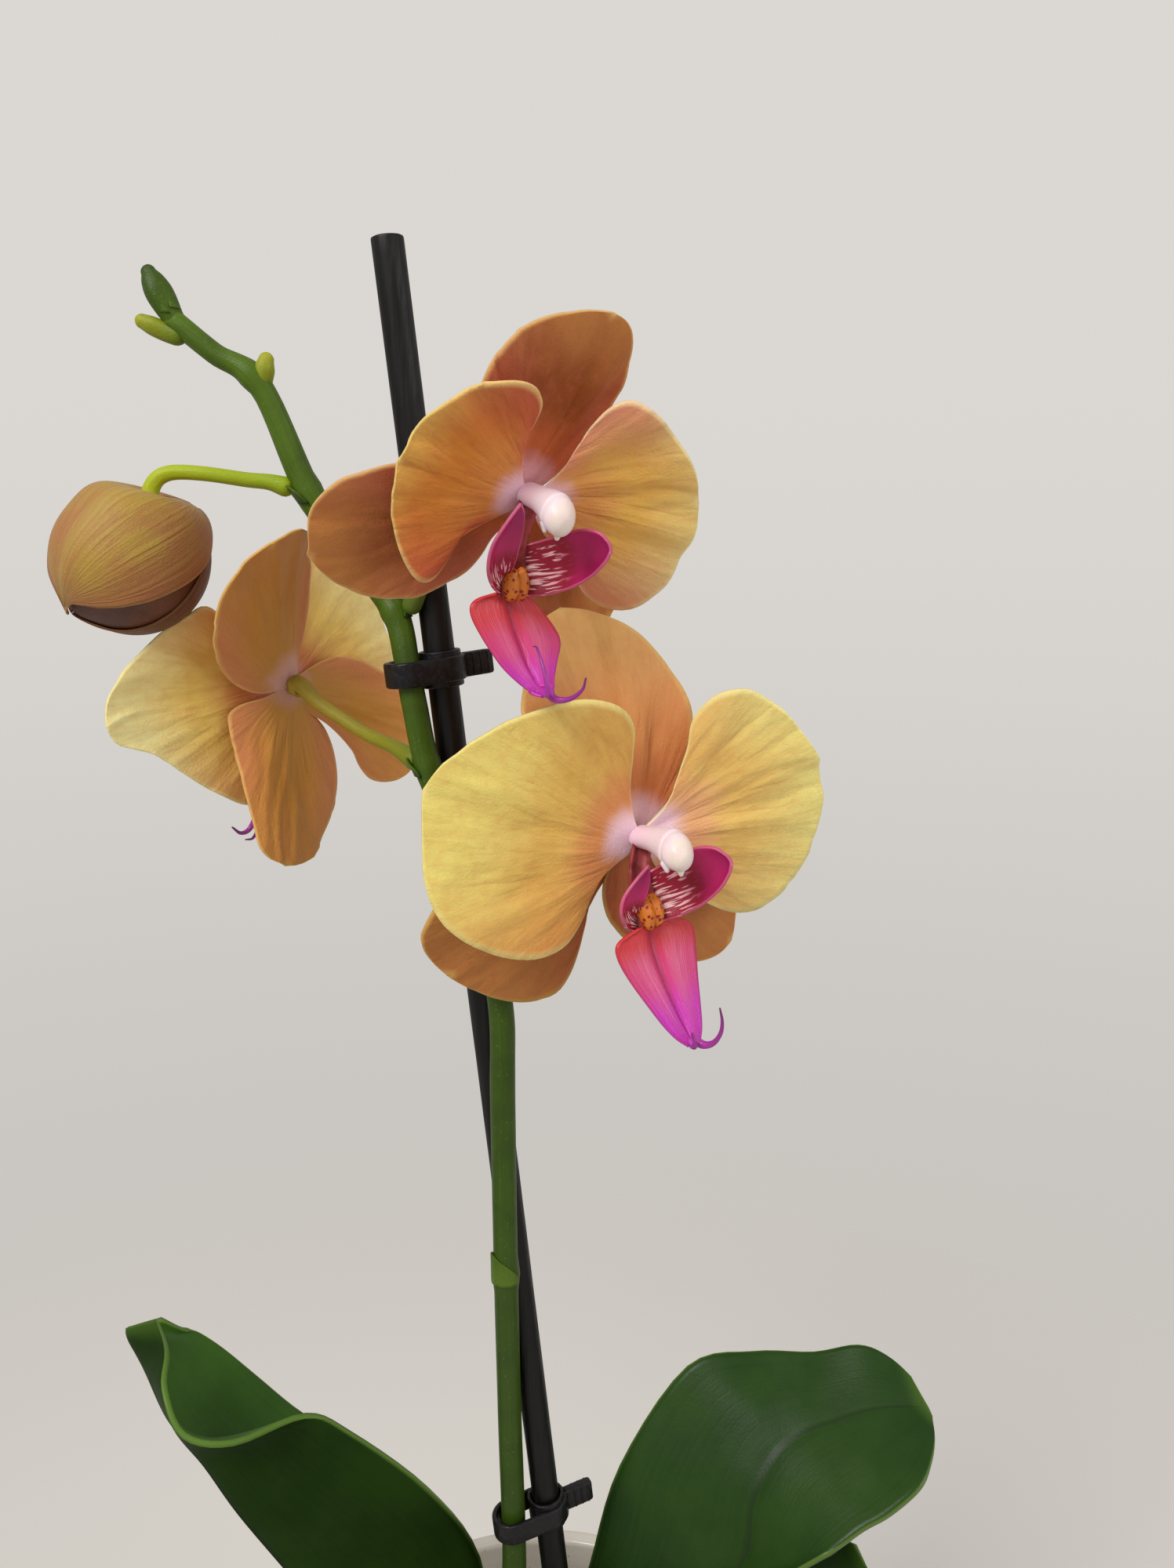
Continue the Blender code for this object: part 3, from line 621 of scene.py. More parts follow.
def budMaterial(name, pale, deep, ridge, flush, edge):
    material, tree, shader = newMaterial(name, Roughness=0.5, Subsurface_Weight=0.12, Subsurface_Scale=0.002,
                                         Sheen_Weight=0.06, Specular_IOR_Level=0.25)
    uv = bladePlace(tree)
    place = objectPlace(tree)
    parts = put(tree, "SeparateXYZ", {0: uv})
    patch = useGroup(tree, softMottle, Vector=place, Scale=70.0, Low=0.3, High=0.7)["Mask"]
    base = blend(tree, patch, srgb(*pale), srgb(*deep))
    side = fromMiddle(tree, parts.outputs["X"])
    middle = blend(tree, spread(tree, side, 0.0, 0.16, 0.6, 0.0), base, srgb(*ridge))
    mauve = blend(tree, times(tree, spread(tree, side, 0.45, 0.95), 0.6), middle, srgb(*flush))
    lines = useGroup(tree, bladeVeins, UV=uv, Fan=22.0, Run=1.2, Wander=0.25, Thinness=6.0)["Lines"]
    veined = blend(tree, times(tree, lines, 0.4), mauve, srgb(*flush))
    rim = useGroup(tree, bladeMargin, UV=uv, Width=0.03)["Edge"]
    tree.links.new(blend(tree, times(tree, rim, 0.5), veined, srgb(*edge)),
                   shader.inputs["Base Color"])
    grain = useGroup(tree, cellGrain, Vector=place, Scale=2000.0)["Height"]
    bump(tree, shader, plus(tree, times(tree, lines, -1.0), grain), 0.00012)
    return material


# the bud's body, seen only in the gaps between the sepals: its dark brown is painted shade in those gaps
def budCoreShadeMaterial():
    material, tree, shader = newMaterial("budCoreShade", Roughness=0.55)
    patch = useGroup(tree, softMottle, Vector=objectPlace(tree), Scale=120.0, Low=0.35, High=0.7)["Mask"]
    tree.links.new(blend(tree, patch, srgb(78, 38, 24), srgb(104, 58, 34)), shader.inputs["Base Color"])
    bump(tree, shader, useGroup(tree, cellGrain, Vector=objectPlace(tree), Scale=2000.0)["Height"], 0.0001)
    return material


budSepal = budMaterial("budSepal", (176, 154, 58), (172, 124, 66), (186, 168, 80), (150, 84, 58),
                       (200, 160, 92))
# the two lower sepals: a darker, browner copy, partly their own tone and partly painted shade under the upper
# sepal's rim
budLowerShaded = budMaterial("budLowerShaded", (132, 88, 44), (112, 68, 40), (140, 96, 52), (92, 50, 34), (150, 108, 62))
budCoreShade = budCoreShadeMaterial()


# ---- flowers

# A tepal is its turn about the flower's face, its length, the knots of its upper and of its
# lower edge (along, across) from base to tip, and its bend: tilt, curl, cup and twist.
# A fold is the extra rise above and below a line across the blade, and where that line lies.
# The middle lobe's knots are y, z and its half widths to the left and to the right.
flowerSettings = {
    "upper_flower": {
        "place": (-1.2, -29.0, 403.0), "yaw": 31, "nod": 30, "roll": -2, "scale": 0.96, "seed": 3,
        "leftLook": "upperLeftPetal", "rightLook": "upperRightPetal", "sepal": "upperSepal",
        "sideSepal": "upperSepal", "folds": {}, "hub": (2.7, 3.2),
        "columnTip": (5.2, 16.2), "lobeLift": 2.4,
        "midLobe": ((-12.4, 7.2, 3.4, 2.4), (-13.3, 6.9, 6.2, 3.4), (-14.4, 7.3, 8.0, 4.8),
                    (-15.9, 8.6, 8.2, 6.6),
                    (-18.0, 11.2, 7.2, 8.6), (-19.6, 13.6, 6.2, 8.9), (-21.4, 16.6, 4.9, 6.8),
                    (-22.6, 20.2, 3.3, 4.0), (-22.8, 22.6, 2.3, 2.5), (-22.5, 24.2, 1.4, 1.4)),
        "leftLobe": {"outer": ((-1.6, -13.2, 7.2), (-5.0, -10.5, 8.0), (-7.6, -6.5, 8.8), (-8.4, -2.0, 9.2),
                               (-7.0, 2.0, 9.2), (-4.8, 5.9, 9.0)),
                     "middle": ((-1.8, -11.5, 6.4), (-3.6, -8.8, 7.0), (-5.2, -5.0, 7.4), (-5.8, -1.0, 7.8),
                                (-5.3, 2.4, 8.5), (-4.7, 5.8, 9.0)),
                     "inner": ((-1.4, -9.5, 6.4), (-1.6, -7.0, 7.8), (-2.3, -3.5, 8.9), (-2.9, 0.5, 9.4),
                               (-3.6, 3.8, 9.4), (-4.6, 5.7, 9.1))},
        "tendrils": (((0.5, -22.6, 23.4, 0.9), (1.1, -23.0, 25.2, 0.7), (2.2, -21.4, 27.4, 0.45),
                      (3.0, -18.8, 28.6, 0.3), (3.2, -16.6, 28.3, 0.16)),
                     ((-0.5, -22.6, 23.4, 0.8), (-1.0, -21.6, 25.0, 0.55), (-1.4, -19.6, 24.2, 0.38),
                      (-1.2, -17.6, 21.6, 0.3), (-0.6, -16.6, 18.6, 0.2), (0.0, -17.4, 17.0, 0.13))),
        "tepals": {
            "upper_sepal": (79, 36.5, ((3.2, 0.6), (5, 5.5), (10, 10), (15, 13), (20, 14.2), (25, 13.2),
                                       (29, 11.2), (32.5, 7.8), (35, 3), (36.3, -2.5)),
                            ((3.4, -4.2), (4, -4.5), (8, -7), (13, -8.8), (19.5, -10.6), (25, -11.2),
                             (30, -10), (34, -7.8), (35.8, -5.4), (36.3, -2.5)), (-1, 0.04, 0.04, 0)),
            "left_petal": (171, 22, ((-2, -1.4), (4.5, 3.6), (7.6, 7), (8.8, 11.5), (10.4, 14.8),
                                     (13.2, 15), (16.5, 12), (19.5, 7.3), (21.3, 2.5), (22.4, -3.5)),
                           ((-2.6, -4.6), (-0.6, -5.2), (1.3, -7.5), (3, -11.5), (3.9, -16.5), (5, -20.5),
                            (8.2, -23), (12, -23),
                            (16.5, -20.6), (19.8, -16), (21.8, -10.5), (22.4, -3.5)), (4, -0.12, 0.20, 0)),
            "right_petal": (21, 31, ((3.2, 3.2), (5, 2.8), (9, 6.4), (11.8, 10.2), (14, 13.8), (17, 17),
                                     (20.6, 17.9), (24.5, 15), (28.2, 9), (30.2, 4), (31, -2)),
                            ((3.6, 0.6), (5, -5), (8, -10.5), (10.5, -17), (13.2, -22.4), (17, -25.4),
                             (21, -25),
                             (25.2, -20.6), (28.3, -14), (30.4, -7.5), (31, -2)), (17, 0.07, -0.09, -0.04)),
            "left_sepal": (208.5, 33.5, ((-2.4, 1.6), (3.3, 5.5), (6.3, 8.6), (10, 11.4), (14, 12.8),
                                         (20, 13.4), (26.6, 11), (30.6, 7.5), (32.8, 3.4), (34, -0.8)),
                           ((-3, -3.6), (4, -7), (9, -11.4), (15, -13.6), (19.5, -14.2), (25, -13.6),
                            (29, -11.2), (32, -7), (33.2, -3), (34, -0.8)), (-8.5, -0.09, 0.05, 0)),
            "right_sepal": (-38, 41, ((0.2, 5), (6, 6.5), (14, 11.5), (22, 13.8), (30, 13.2), (37, 9),
                                      (41, 0)),
                            ((0, 0.6), (6, -6.5), (14, -11.5), (22, -13.8), (30, -13.2), (37, -9), (41, 0)),
                            (-4, 0, 0.05, 0))}},
    "lower_flower": {
        "place": (18.1, -18.5, 343.0), "yaw": 31, "nod": 5, "roll": 4, "scale": 1.05, "seed": 11,
        "leftLook": "lowerPetal", "rightLook": "lowerRightPetal", "sepal": "lowerSepal",
        "sideSepal": "lowerSideSepal", "folds": {}, "hub": (3.4, 0.7),
        "columnTip": (1.6, 17.4), "lobeLift": 0.0,
        "midLobe": ((-12.6, 8.0, 3.2, 3.2), (-13.4, 7.9, 5.8, 6.0), (-14.6, 8.0, 7.8, 8.4),
                    (-16.4, 8.6, 8.0, 9.4),
                    (-19.4, 10.0, 7.2, 8.7), (-23.4, 12.4, 5.8, 7.0), (-27.2, 15.2, 4.3, 5.0),
                    (-29.9, 17.6, 2.9, 3.2), (-31.5, 19.2, 1.5, 1.5)),
        "leftLobe": {"outer": ((-1.8, -13.8, 7.2), (-5.0, -12.4, 7.6), (-6.8, -9.0, 8.2), (-6.6, -6.0, 8.6),
                               (-4.4, -3.4, 9.0), (-1.2, -1.2, 9.0)),
                     "middle": ((-1.8, -12.4, 6.4), (-3.4, -10.6, 6.8), (-4.4, -8.2, 7.4),
                                (-4.2, -5.6, 7.9), (-2.9, -3.6, 8.5), (-1.15, -1.4, 9.0)),
                     "inner": ((-1.5, -11.0, 6.6), (-1.7, -9.6, 7.8), (-1.8, -7.8, 8.6), (-1.5, -5.8, 9.0),
                               (-1.2, -3.8, 9.2), (-1.1, -1.5, 9.1))},
        "tendrils": (((0.5, -31.0, 18.9, 0.9), (1.0, -31.4, 20.6, 0.72), (1.6, -30.4, 22.4, 0.5),
                      (2.0, -28.2, 23.6, 0.38), (2.0, -25.8, 23.9, 0.28), (1.7, -23.4, 23.6, 0.15)),
                     ((-0.5, -31.0, 18.9, 0.8), (-0.9, -31.2, 20.2, 0.55), (-1.2, -30.0, 20.8, 0.38),
                      (-1.4, -28.6, 20.2, 0.22))),
        "tepals": {
            "upper_sepal": (94, 40, ((0.4, -1.2), (4, 6.5), (10, 11), (16, 13.6), (23, 13.9),
                                     (29.5, 12.4), (35, 9.2), (38.8, 5.6), (40.2, 1.5)),
                            ((0, -5.6), (1.5, -6.5), (5, -11.5), (10, -15.2), (15, -17.6), (20, -18.7),
                             (25, -17.6),
                             (30, -15), (35, -10.8), (38.6, -4.5), (40.2, 1.5)), (-6.5, -0.15, 0.08, 0)),
            "left_petal": (159, 37, ((-2.4, 1), (0, 3.4), (2.6, 6.6), (3.6, 10.5), (4.2, 14.5), (6, 18.6),
                                     (10, 21.2), (16, 22.6),
                                     (23, 21.8), (29, 19.3), (33, 14.5), (35.6, 7.5), (37.9, -1.5)),
                           ((-2.9, -2.6), (-1, -4.2), (1.4, -7.6), (3, -11), (4.4, -16), (6, -20.2),
                            (9.5, -22.8), (15, -23.2),
                            (21, -21.3), (27, -17.2), (32.5, -11.6), (36.6, -6), (37.9, -1.5)),
                            (4, -0.19, 0.13, 0)),
            "right_petal": (22, 37, ((3.5, 0.6), (5, 1.2), (9, 3.2), (12.6, 7.2), (16.2, 11.4),
                                     (19.5, 15.8), (24, 18.2),
                                     (28.4, 17.2), (31.6, 13.8), (34.4, 8), (36.5, -1)),
                            ((3.6, -2.2), (4, -8), (7.5, -15), (11, -21), (15, -25.4), (19.5, -26.6),
                             (24, -25),
                             (28.5, -21), (32.5, -15), (35.4, -8), (36.5, -1)), (15, 0.04, -0.11, -0.03)),
            "left_sepal": (221.5, 37, ((-1.8, 3.6), (5, 4), (10.8, 6), (14.6, 9.2), (18.6, 12.6),
                                       (23, 15.6), (27.3, 16.8),
                                       (31.8, 14.8), (34.5, 10.5), (36.4, 4), (37, -1)),
                           ((-2.2, -0.8), (6, -8), (12, -12.5), (20, -15.5), (27, -15.4), (32.9, -13),
                            (35.7, -9.8), (36.8, -5), (37, -1)), (-11, -0.14, 0.08, 0)),
            "right_sepal": (-44.5, 39, ((2, 4.6), (8, 7.5), (16, 11), (24, 11.8), (32, 9.6), (38.3, 5.2),
                                        (41.2, 0)),
                            ((1.2, 0), (3.4, -7.4), (8.2, -11.2), (14, -12.6), (22, -12.6), (30, -11),
                             (36.5, -7.4), (39.8, -4), (41.2, 0)), (-6, -0.02, 0.04, 0))}},
    "rear_flower": {
        "place": (-49.8, 15.1, 367.4), "yaw": 235, "nod": -2, "roll": -21, "scale": 1.0, "seed": 23,
        "leftLook": "rearPetal", "rightLook": "rearPetal", "sepal": "rearSepal", "sideSepal": "rearSepal",
        "folds": {"right_sepal": (0.45, 0.04, 4.4), "upper_sepal": (0.10, 0.10, 0.0),
                  "left_sepal": (0.08, 0.08, 0.0)},
        "hub": (0.0, 0.6),
        "columnTip": (1.6, 15.0), "lobeLift": 0.5,
        "midLobe": ((-13.2, 8.0, 3.0, 3.0), (-14.4, 7.8, 5.4, 5.4), (-16.4, 8.6, 7.6, 7.6),
                    (-19.4, 10.0, 7.8, 7.8),
                    (-22.6, 11.8, 6.3, 6.3), (-25.8, 13.8, 4.5, 4.5), (-28.2, 16.0, 2.7, 2.7),
                    (-29.8, 17.6, 1.3, 1.3)),
        "tendrils": (((0.5, -29.4, 17.2, 0.9), (2.6, -32.0, 19.3, 0.75), (5.0, -34.6, 20.8, 0.6),
                      (7.6, -34.0, 21.0, 0.42), (9.2, -31.4, 21.0, 0.2)),
                     ((-0.5, -29.4, 17.2, 0.8), (0.6, -32.6, 19.2, 0.6), (2.4, -35.6, 20.6, 0.45),
                      (4.8, -37.2, 21.0, 0.32), (7.0, -36.2, 21.0, 0.16))),
        "tepals": {
            "upper_sepal": (87, 33, ((0.5, 2), (4.6, 3), (8.5, 6), (13.5, 8.6), (20, 10.1), (27, 9.8),
                                     (31.6, 7.8), (33.7, 3.5), (34, -2.5)),
                            ((0.5, -2), (3, -7.5), (6, -11.2), (10.5, -13.8), (16, -15.4), (21.5, -15.6),
                             (26.5, -14.6), (30.2, -12), (32.8, -8), (34, -2.5)), (-10.5, -0.22, 0.07, 0)),
            "left_petal": (171, 33.5, ((0.5, 1.5), (4, 8), (8.5, 14.5), (15, 19.5), (22, 21), (28, 19),
                                       (31, 14), (32.4, 8), (32.8, 2)),
                           ((0.5, -1.5), (4, -8), (9, -15), (16, -20), (23, -20.5), (29, -16.5), (32, -8),
                            (32.8, 2)), (7, -0.05, 0.04, 0)),
            "right_petal": (11, 37, ((0.5, 1.5), (4, 5), (7.5, 11), (11.5, 17.5), (14.7, 20.2),
                                     (18.5, 19.2), (23.4, 17),
                                     (28.6, 14), (32.7, 10.8), (35.6, 7), (37.2, 2)),
                            ((0.5, -1.5), (3, -8), (6, -15), (9, -20), (13, -22), (17.6, -18.9),
                             (22.4, -14.2),
                             (26.4, -9.5), (29.7, -5.8), (33, -3.8), (35.8, -1.9), (37.2, 2)),
                             (10, 0.03, -0.07, 0)),
            "left_sepal": (224, 37.5, ((0.5, 2), (5, 3.6), (11, 4.8), (17.7, 7.6), (23.4, 11.6), (27, 13),
                                       (31, 12.2), (34, 9.8), (36.5, 3)),
                           ((0.5, -2), (2.5, -4.6), (5.5, -7.4), (9.5, -9.9), (14, -11), (19, -10.8),
                            (24, -9.8), (29, -7.4), (33.5, -3), (36.5, 3)), (-8, -0.06, 0.06, 0)),
            "right_sepal": (-49.5, 36, ((0.5, 2), (3.5, 6.4), (6, 10.5), (8.6, 12.3), (12, 12),
                                        (17, 10.4), (22.7, 8.7),
                                        (28, 7), (32.7, 5.6), (34.6, 3.6), (35.8, -1)),
                            ((0.5, -2), (3.6, -6), (6.2, -11), (10, -14.6), (15.3, -16.6), (21, -16.4),
                             (27, -14.2), (31.8, -11), (34.6, -6.6), (35.8, -1)), (-10, -0.08, 0.03, 0))}},
}

tepalSettings = {"rows": 48, "columns": 37, "thickness": 0.5, "creaseDepth": 1.0, "creaseCount": 5.0,
                 "ripple": 0.8, "midrib": 0.6, "petalLayer": 0.9, "sepalLayer": -0.9, "fanReach": 42.0}


def evenly(points, count):
    # the same line, stepped by equal lengths
    points = [Vector(p) for p in points]
    walked = [0.0]
    for a, b in zip(points, points[1:]):
        walked.append(walked[-1] + (b - a).length)
    steps, at = [], 0
    for i in range(count):
        goal = walked[-1] * i / (count - 1)
        while at < len(points) - 2 and walked[at + 1] < goal:
            at += 1
        share = (goal - walked[at]) / max(walked[at + 1] - walked[at], 1e-6)
        steps.append(points[at].lerp(points[at + 1], share))
    return steps


def tepalBlade(shape, isPetal, seed, fold):
    turn, length, above, below, (tilt, curl, cup, twist) = shape
    foldAbove, foldBelow, foldLine = fold
    axis = Vector((math.cos(math.radians(turn)), math.sin(math.radians(turn))))
    aside = Vector((-axis.y, axis.x))
    layer = tepalSettings["petalLayer"] if isPetal else tepalSettings["sepalLayer"]
    count = tepalSettings["rows"]
    above, below = evenly(smoothPath(above, 6), count), evenly(smoothPath(below, 6), count)
    start, end = (above[0] + below[0]) / 2, above[-1]
    part, rows = newPart(), []
    for r in range(count):
        t = r / (count - 1)
        middle = start.lerp(end, t ** 1.15)
        row = []
        for c in range(tepalSettings["columns"]):
            side = 2 * c / (tepalSettings["columns"] - 1) - 1
            point = middle.lerp((above if side > 0 else below)[r], abs(side))
            along, across = point.x, point.y
            height = (along * math.tan(math.radians(tilt)) + curl * along ** 2 / length
                      + cup * across ** 2 / length + twist * along * across / length)
            free = ease(4.0, 22.0, math.hypot(along, across))
            angle = math.atan2(across - start.y, along - start.x + 4.0)
            swell = wobble(angle * tepalSettings["creaseCount"], along * 0.05, seed)
            height += swell * tepalSettings["creaseDepth"] * free
            ridge = 1 - abs(wobble(angle * 5.5 + 3, along * 0.045, seed + 9)) * 5
            height -= max(0.0, ridge) * tepalSettings["creaseDepth"] * 0.45 * free
            edge = abs(side) ** 3 * (1 - t ** 6)
            height += wobble(side * 1.4, t * 5.0, seed + 5) * tepalSettings["ripple"] * free * edge
            channel = math.exp(-(across / 1.3) ** 2) * (1 - t) * ease(2.0, 8.0, along)
            height -= tepalSettings["midrib"] * channel
            rise = foldAbove * max(0.0, across - foldLine) + foldBelow * max(0.0, foldLine - across)
            height += rise * ease(2.0, 9.0, along)
            flat = axis * along + aside * across
            row.append((flat.x, flat.y, height + layer))
            reach = math.hypot(along - start.x, across - start.y)
            part["fans"].append((0.5 + angle / math.pi, reach / tepalSettings["fanReach"]))
        rows.append(row)
    addGrid(part, rows)
    return part


def flowerMatrix(spec, extraYaw=0.0):
    turn = (Matrix.Rotation(math.radians(spec["yaw"]), 4, "Z")
            @ Matrix.Rotation(math.radians(90 + spec["nod"]), 4, "X")
            @ Matrix.Rotation(math.radians(spec["roll"]), 4, "Z"))
    return (Matrix.Translation(Vector(spec["place"]) * mm) @ turn @ Matrix.Scale(spec["scale"], 4)
            @ Matrix.Rotation(math.radians(extraYaw), 4, "Y"))


lipSettings = {
    "yaw": 8.0, "thickness": 0.55,
    "lowerRail": ((1.4, -13.2, 7.4), (3.8, -11.8, 10.6), (6.1, -9.2, 14.0), (7.6, -5.8, 16.9),
                  (8.3, -2.6, 18.5), (8.5, -0.8, 18.8)),
    "middleRail": ((2.1, -9.5, 5.2), (5.4, -7.6, 8.5), (7.5, -5.0, 12.0), (8.6, -2.8, 15.2),
                   (8.9, -1.0, 17.5), (8.7, -0.1, 18.5)),
    "upperRail": ((1.7, -5.4, 4.0), (4.0, -3.2, 6.4), (5.6, -0.8, 9.4), (6.7, 1.1, 12.6), (7.5, 1.7, 15.7),
                  (8.3, 0.8, 17.8)),
    "floor": ((-5.0, 4.2, 2.2), (-9.2, 5.3, 2.6), (-12.4, 6.6, 2.3), (-13.8, 7.6, 2.2)),
}


def railsToRows(near, middle, far, steps, columns, power):
    rows = []
    for a, b, c in zip(smoothPath(near, steps), smoothPath(middle, steps), smoothPath(far, steps)):
        a, b, c = Vector(a), Vector(b), Vector(c)
        row = []
        for i in range(columns):
            side = 2 * i / (columns - 1) - 1
            row.append(b + (c - a) / 2 * side + ((a + c) / 2 - b) * abs(side) ** power)
        rows.append(row)
    return rows


def makeLip(name, spec):
    part = newPart()
    lift = spec["lobeLift"]
    for hand in (1, -1):
        rails = []
        for rail in ("lowerRail", "middleRail", "upperRail"):
            knots = lipSettings[rail]
            rails.append([(x * hand, y + lift * ease(0, 5, i), z) for i, (x, y, z) in enumerate(knots)])
        if hand == -1 and "leftLobe" in spec:
            rails = [spec["leftLobe"][rail] for rail in ("outer", "middle", "inner")]
        addGrid(part, railsToRows(*rails, 7, 17, 2.0), slot=0)
    floorRows = []
    hubX, hubY = spec["hub"]
    floor = [(hubX, hubY - 1.0, 1.4, 2.2), *((0.0, y, z, half) for y, z, half in lipSettings["floor"])]
    for x, y, z, half in smoothPath(floor, 4):
        floorRows.append([(x + half * s / 4, y + 0.05 * s * s, z + 0.06 * s * s) for s in range(-4, 5)])
    addGrid(part, floorRows, slot=2)
    knots = smoothPath(spec["midLobe"], 6)
    rows = []
    for i, (y, z, leftHalf, rightHalf) in enumerate(knots):
        before, after = knots[max(i - 1, 0)], knots[min(i + 1, len(knots) - 1)]
        run = Vector((0, after[0] - before[0], after[1] - before[1])).normalized()
        face = Vector((1, 0, 0)).cross(run)
        if face.z < 0:
            face.negate()
        t = i / (len(knots) - 1)
        row = []
        for c in range(25):
            side = c / 12 - 1
            half = rightHalf if side > 0 else leftHalf
            puff = 0.5 * (1 - side ** 2) - 1.1 * math.exp(-(side / 0.16) ** 2) * ease(0.0, 0.3, t)
            edge = 0.45 * abs(side) ** 5 * (1 - t) + 0.3 * wobble(side * 2.0, t * 4.0, spec["seed"])
            lobe = face * (puff * min(1.0, half / 5) + edge)
            drop = 0.6 * abs(side) ** 3 * ease(0.2, 0.5, t) * half * 0.1
            row.append(Vector((half * side, y - drop, z)) + lobe)
        rows.append(row)
    addGrid(part, rows, slot=1)
    makePiece(name + "_lip", part, [sideLobe, midLobe, lipThroat], [name + "_lip"],
                    flowerMatrix(spec, lipSettings["yaw"]), thickness=lipSettings["thickness"])

    part = newPart()                # the warty two-horned callus between the side lobes
    for hand in (-1, 1):
        rows = []
        for i in range(13):
            polar = math.pi * (i + 0.3) / 12.6
            row = []
            for s in range(20):
                angle = 2 * math.pi * s / 20
                lump = 1 + 0.16 * wobble(math.cos(angle) * 3 + hand,
                                         math.cos(polar) * 4 + math.sin(angle) * 3, spec["seed"])
                row.append((hand * 1.0 + 1.45 * math.sin(polar) * math.cos(angle) * lump,
                            -10.6 + 2.9 * math.cos(polar) * lump,
                            8.0 - 0.6 * math.cos(polar) + 1.7 * math.sin(polar) * math.sin(angle) * lump))
            rows.append(row)
        first = addGrid(part, rows, loop=True)
        addCap(part, first, 20, 0, 0.0, flip=True)
        addCap(part, first + 12 * 20, 20, 0, 1.0)
    place = flowerMatrix(spec, lipSettings["yaw"])
    makePiece(name + "_lip_callus", part, [callus], [name + "_lip"], place)

    part = newPart()
    for knots in spec["tendrils"]:
        addTube(part, roundOff(smoothPath(knots, 6)), sides=10)
    makePiece(name + "_lip_tendrils", part, [tendril], [name + "_lip"], place)


columnSettings = {
    # share of the length, half width across, half height
    "stations": ((0.0, 2.6, 2.0), (0.16, 2.3, 2.1), (0.34, 2.3, 2.3), (0.52, 2.6, 2.8), (0.64, 3.0, 3.2),
                 (0.70, 3.2, 3.35), (0.73, 3.0, 3.15), (0.79, 3.1, 3.2), (0.87, 2.75, 2.9),
                 (0.94, 2.1, 2.3), (0.985, 1.3, 1.3), (1.0, 0.5, 0.5)),
}


def makeColumn(name, spec):
    part = newPart()
    tipY, tipZ = spec["columnTip"]
    base, tip = Vector((*spec["hub"], 1.2)), Vector((0, tipY + 0.2, tipZ - 0.3))
    rows = []
    knots = smoothPath(columnSettings["stations"], 4)
    for share, wide, high in knots:
        share = min(share, 1.0)
        centre = base.lerp(tip, share) + Vector((0, 0.9 * math.sin(math.pi * min(1, share)), 0))
        along = (tip - base).normalized()
        over = along.cross(Vector((1, 0, 0))).normalized()
        if over.y < 0:
            over.negate()
        row = []
        for s in range(28):
            angle = 2 * math.pi * s / 28
            lowered = 1.0 - 0.38 * math.exp(-((share - 0.66) / 0.13) ** 2) * max(0.0, -math.sin(angle)) ** 2
            row.append(centre + Vector((1, 0, 0)) * max(wide, 0.2) * math.cos(angle)
                       + over * max(high, 0.2) * math.sin(angle) * lowered)
        rows.append(row)
    first = addGrid(part, rows, loop=True)
    addCap(part, first, 28, 0, 0.0, flip=True)
    addCap(part, first + (len(rows) - 1) * 28, 28, 0, 1.0)
    beak = base.lerp(tip, 0.93)
    addTube(part, roundOff([(0, beak.y - 0.6, beak.z - 0.8, 1.1), (0, beak.y - 2.2, beak.z - 0.5, 0.8),
                            (0, beak.y - 2.8, beak.z - 0.4, 0.45)]), sides=14, slot=1)
    for hand in (-1, 1):            # the soft teeth under the cap
        addTube(part, roundOff([(hand * 1.3, beak.y - 1.4, beak.z - 3.0, 0.75),
                                (hand * 1.1, beak.y - 2.6, beak.z - 2.6, 0.4)]), sides=12, slot=0)
    makePiece(name + "_column", part, [columnWax, capWax], [name + "_column"],
              flowerMatrix(spec, lipSettings["yaw"]))


for flowerName, spec in flowerSettings.items():
    for number, (tepalName, shape) in enumerate(spec["tepals"].items()):
        isPetal = tepalName.endswith("petal")
        look = "sepal" if tepalName == "upper_sepal" else "sideSepal"
        if isPetal:
            look = tepalName.split("_")[0] + "Look"
        fold = spec["folds"].get(tepalName, (0.0, 0.0, 0.0))
        part = tepalBlade(shape, isPetal, spec["seed"] + number, fold)
        node = f"{flowerName}_{tepalName}"
        makePiece(node, part, [tepalMaterials[spec[look]]],
                  [node], flowerMatrix(spec), thickness=tepalSettings["thickness"])
    makeLip(flowerName, spec)
    makeColumn(flowerName, spec)
print("flowers made")


# ---- spike, stalks and buds

spikeSettings = {
    "path": ((-6.0, -4.5, 108.5, 2.9), (-5.4, -4.0, 140.0, 2.8), (-4.4, -3.0, 171.5, 2.7),
             (-4.9, -4.0, 210.5, 2.6),
             (-5.0, -7.2, 251.0, 2.55), (-5.0, -8.4, 287.0, 2.55), (-5.0, -8.5, 305.5, 2.55),
             (-7.4, -8.3, 320.5, 2.55),
             (-10.7, -7.6, 331.5, 2.55), (-18.3, -5.4, 353.5, 2.5), (-21.0, -4.4, 366.5, 2.45),
             (-22.2, -3.6, 373.5, 2.45), (-24.1, -1.5, 382.5, 2.5), (-28.2, 0.0, 389.0, 2.5),
             (-39.5, 0.0, 404.5, 2.5),
             (-48.2, 0.0, 425.0, 2.2), (-56.5, 0.0, 431.0, 2.0), (-63.4, 0.0, 436.6, 2.0)),
    # height of each node and how far it swells
    "nodes": ((247.0, 0.42), (333.0, 0.35), (354.5, 0.3), (384.0, 0.35), (406.0, 0.45), (427.0, 0.5)),
}


def spikePoint(height):
    knots = spikeSettings["path"]
    for low, high in zip(knots, knots[1:]):
        if low[2] <= height <= high[2]:
            return Vector(low[:3]).lerp(Vector(high[:3]), (height - low[2]) / (high[2] - low[2]))
    return Vector(knots[-1][:3])


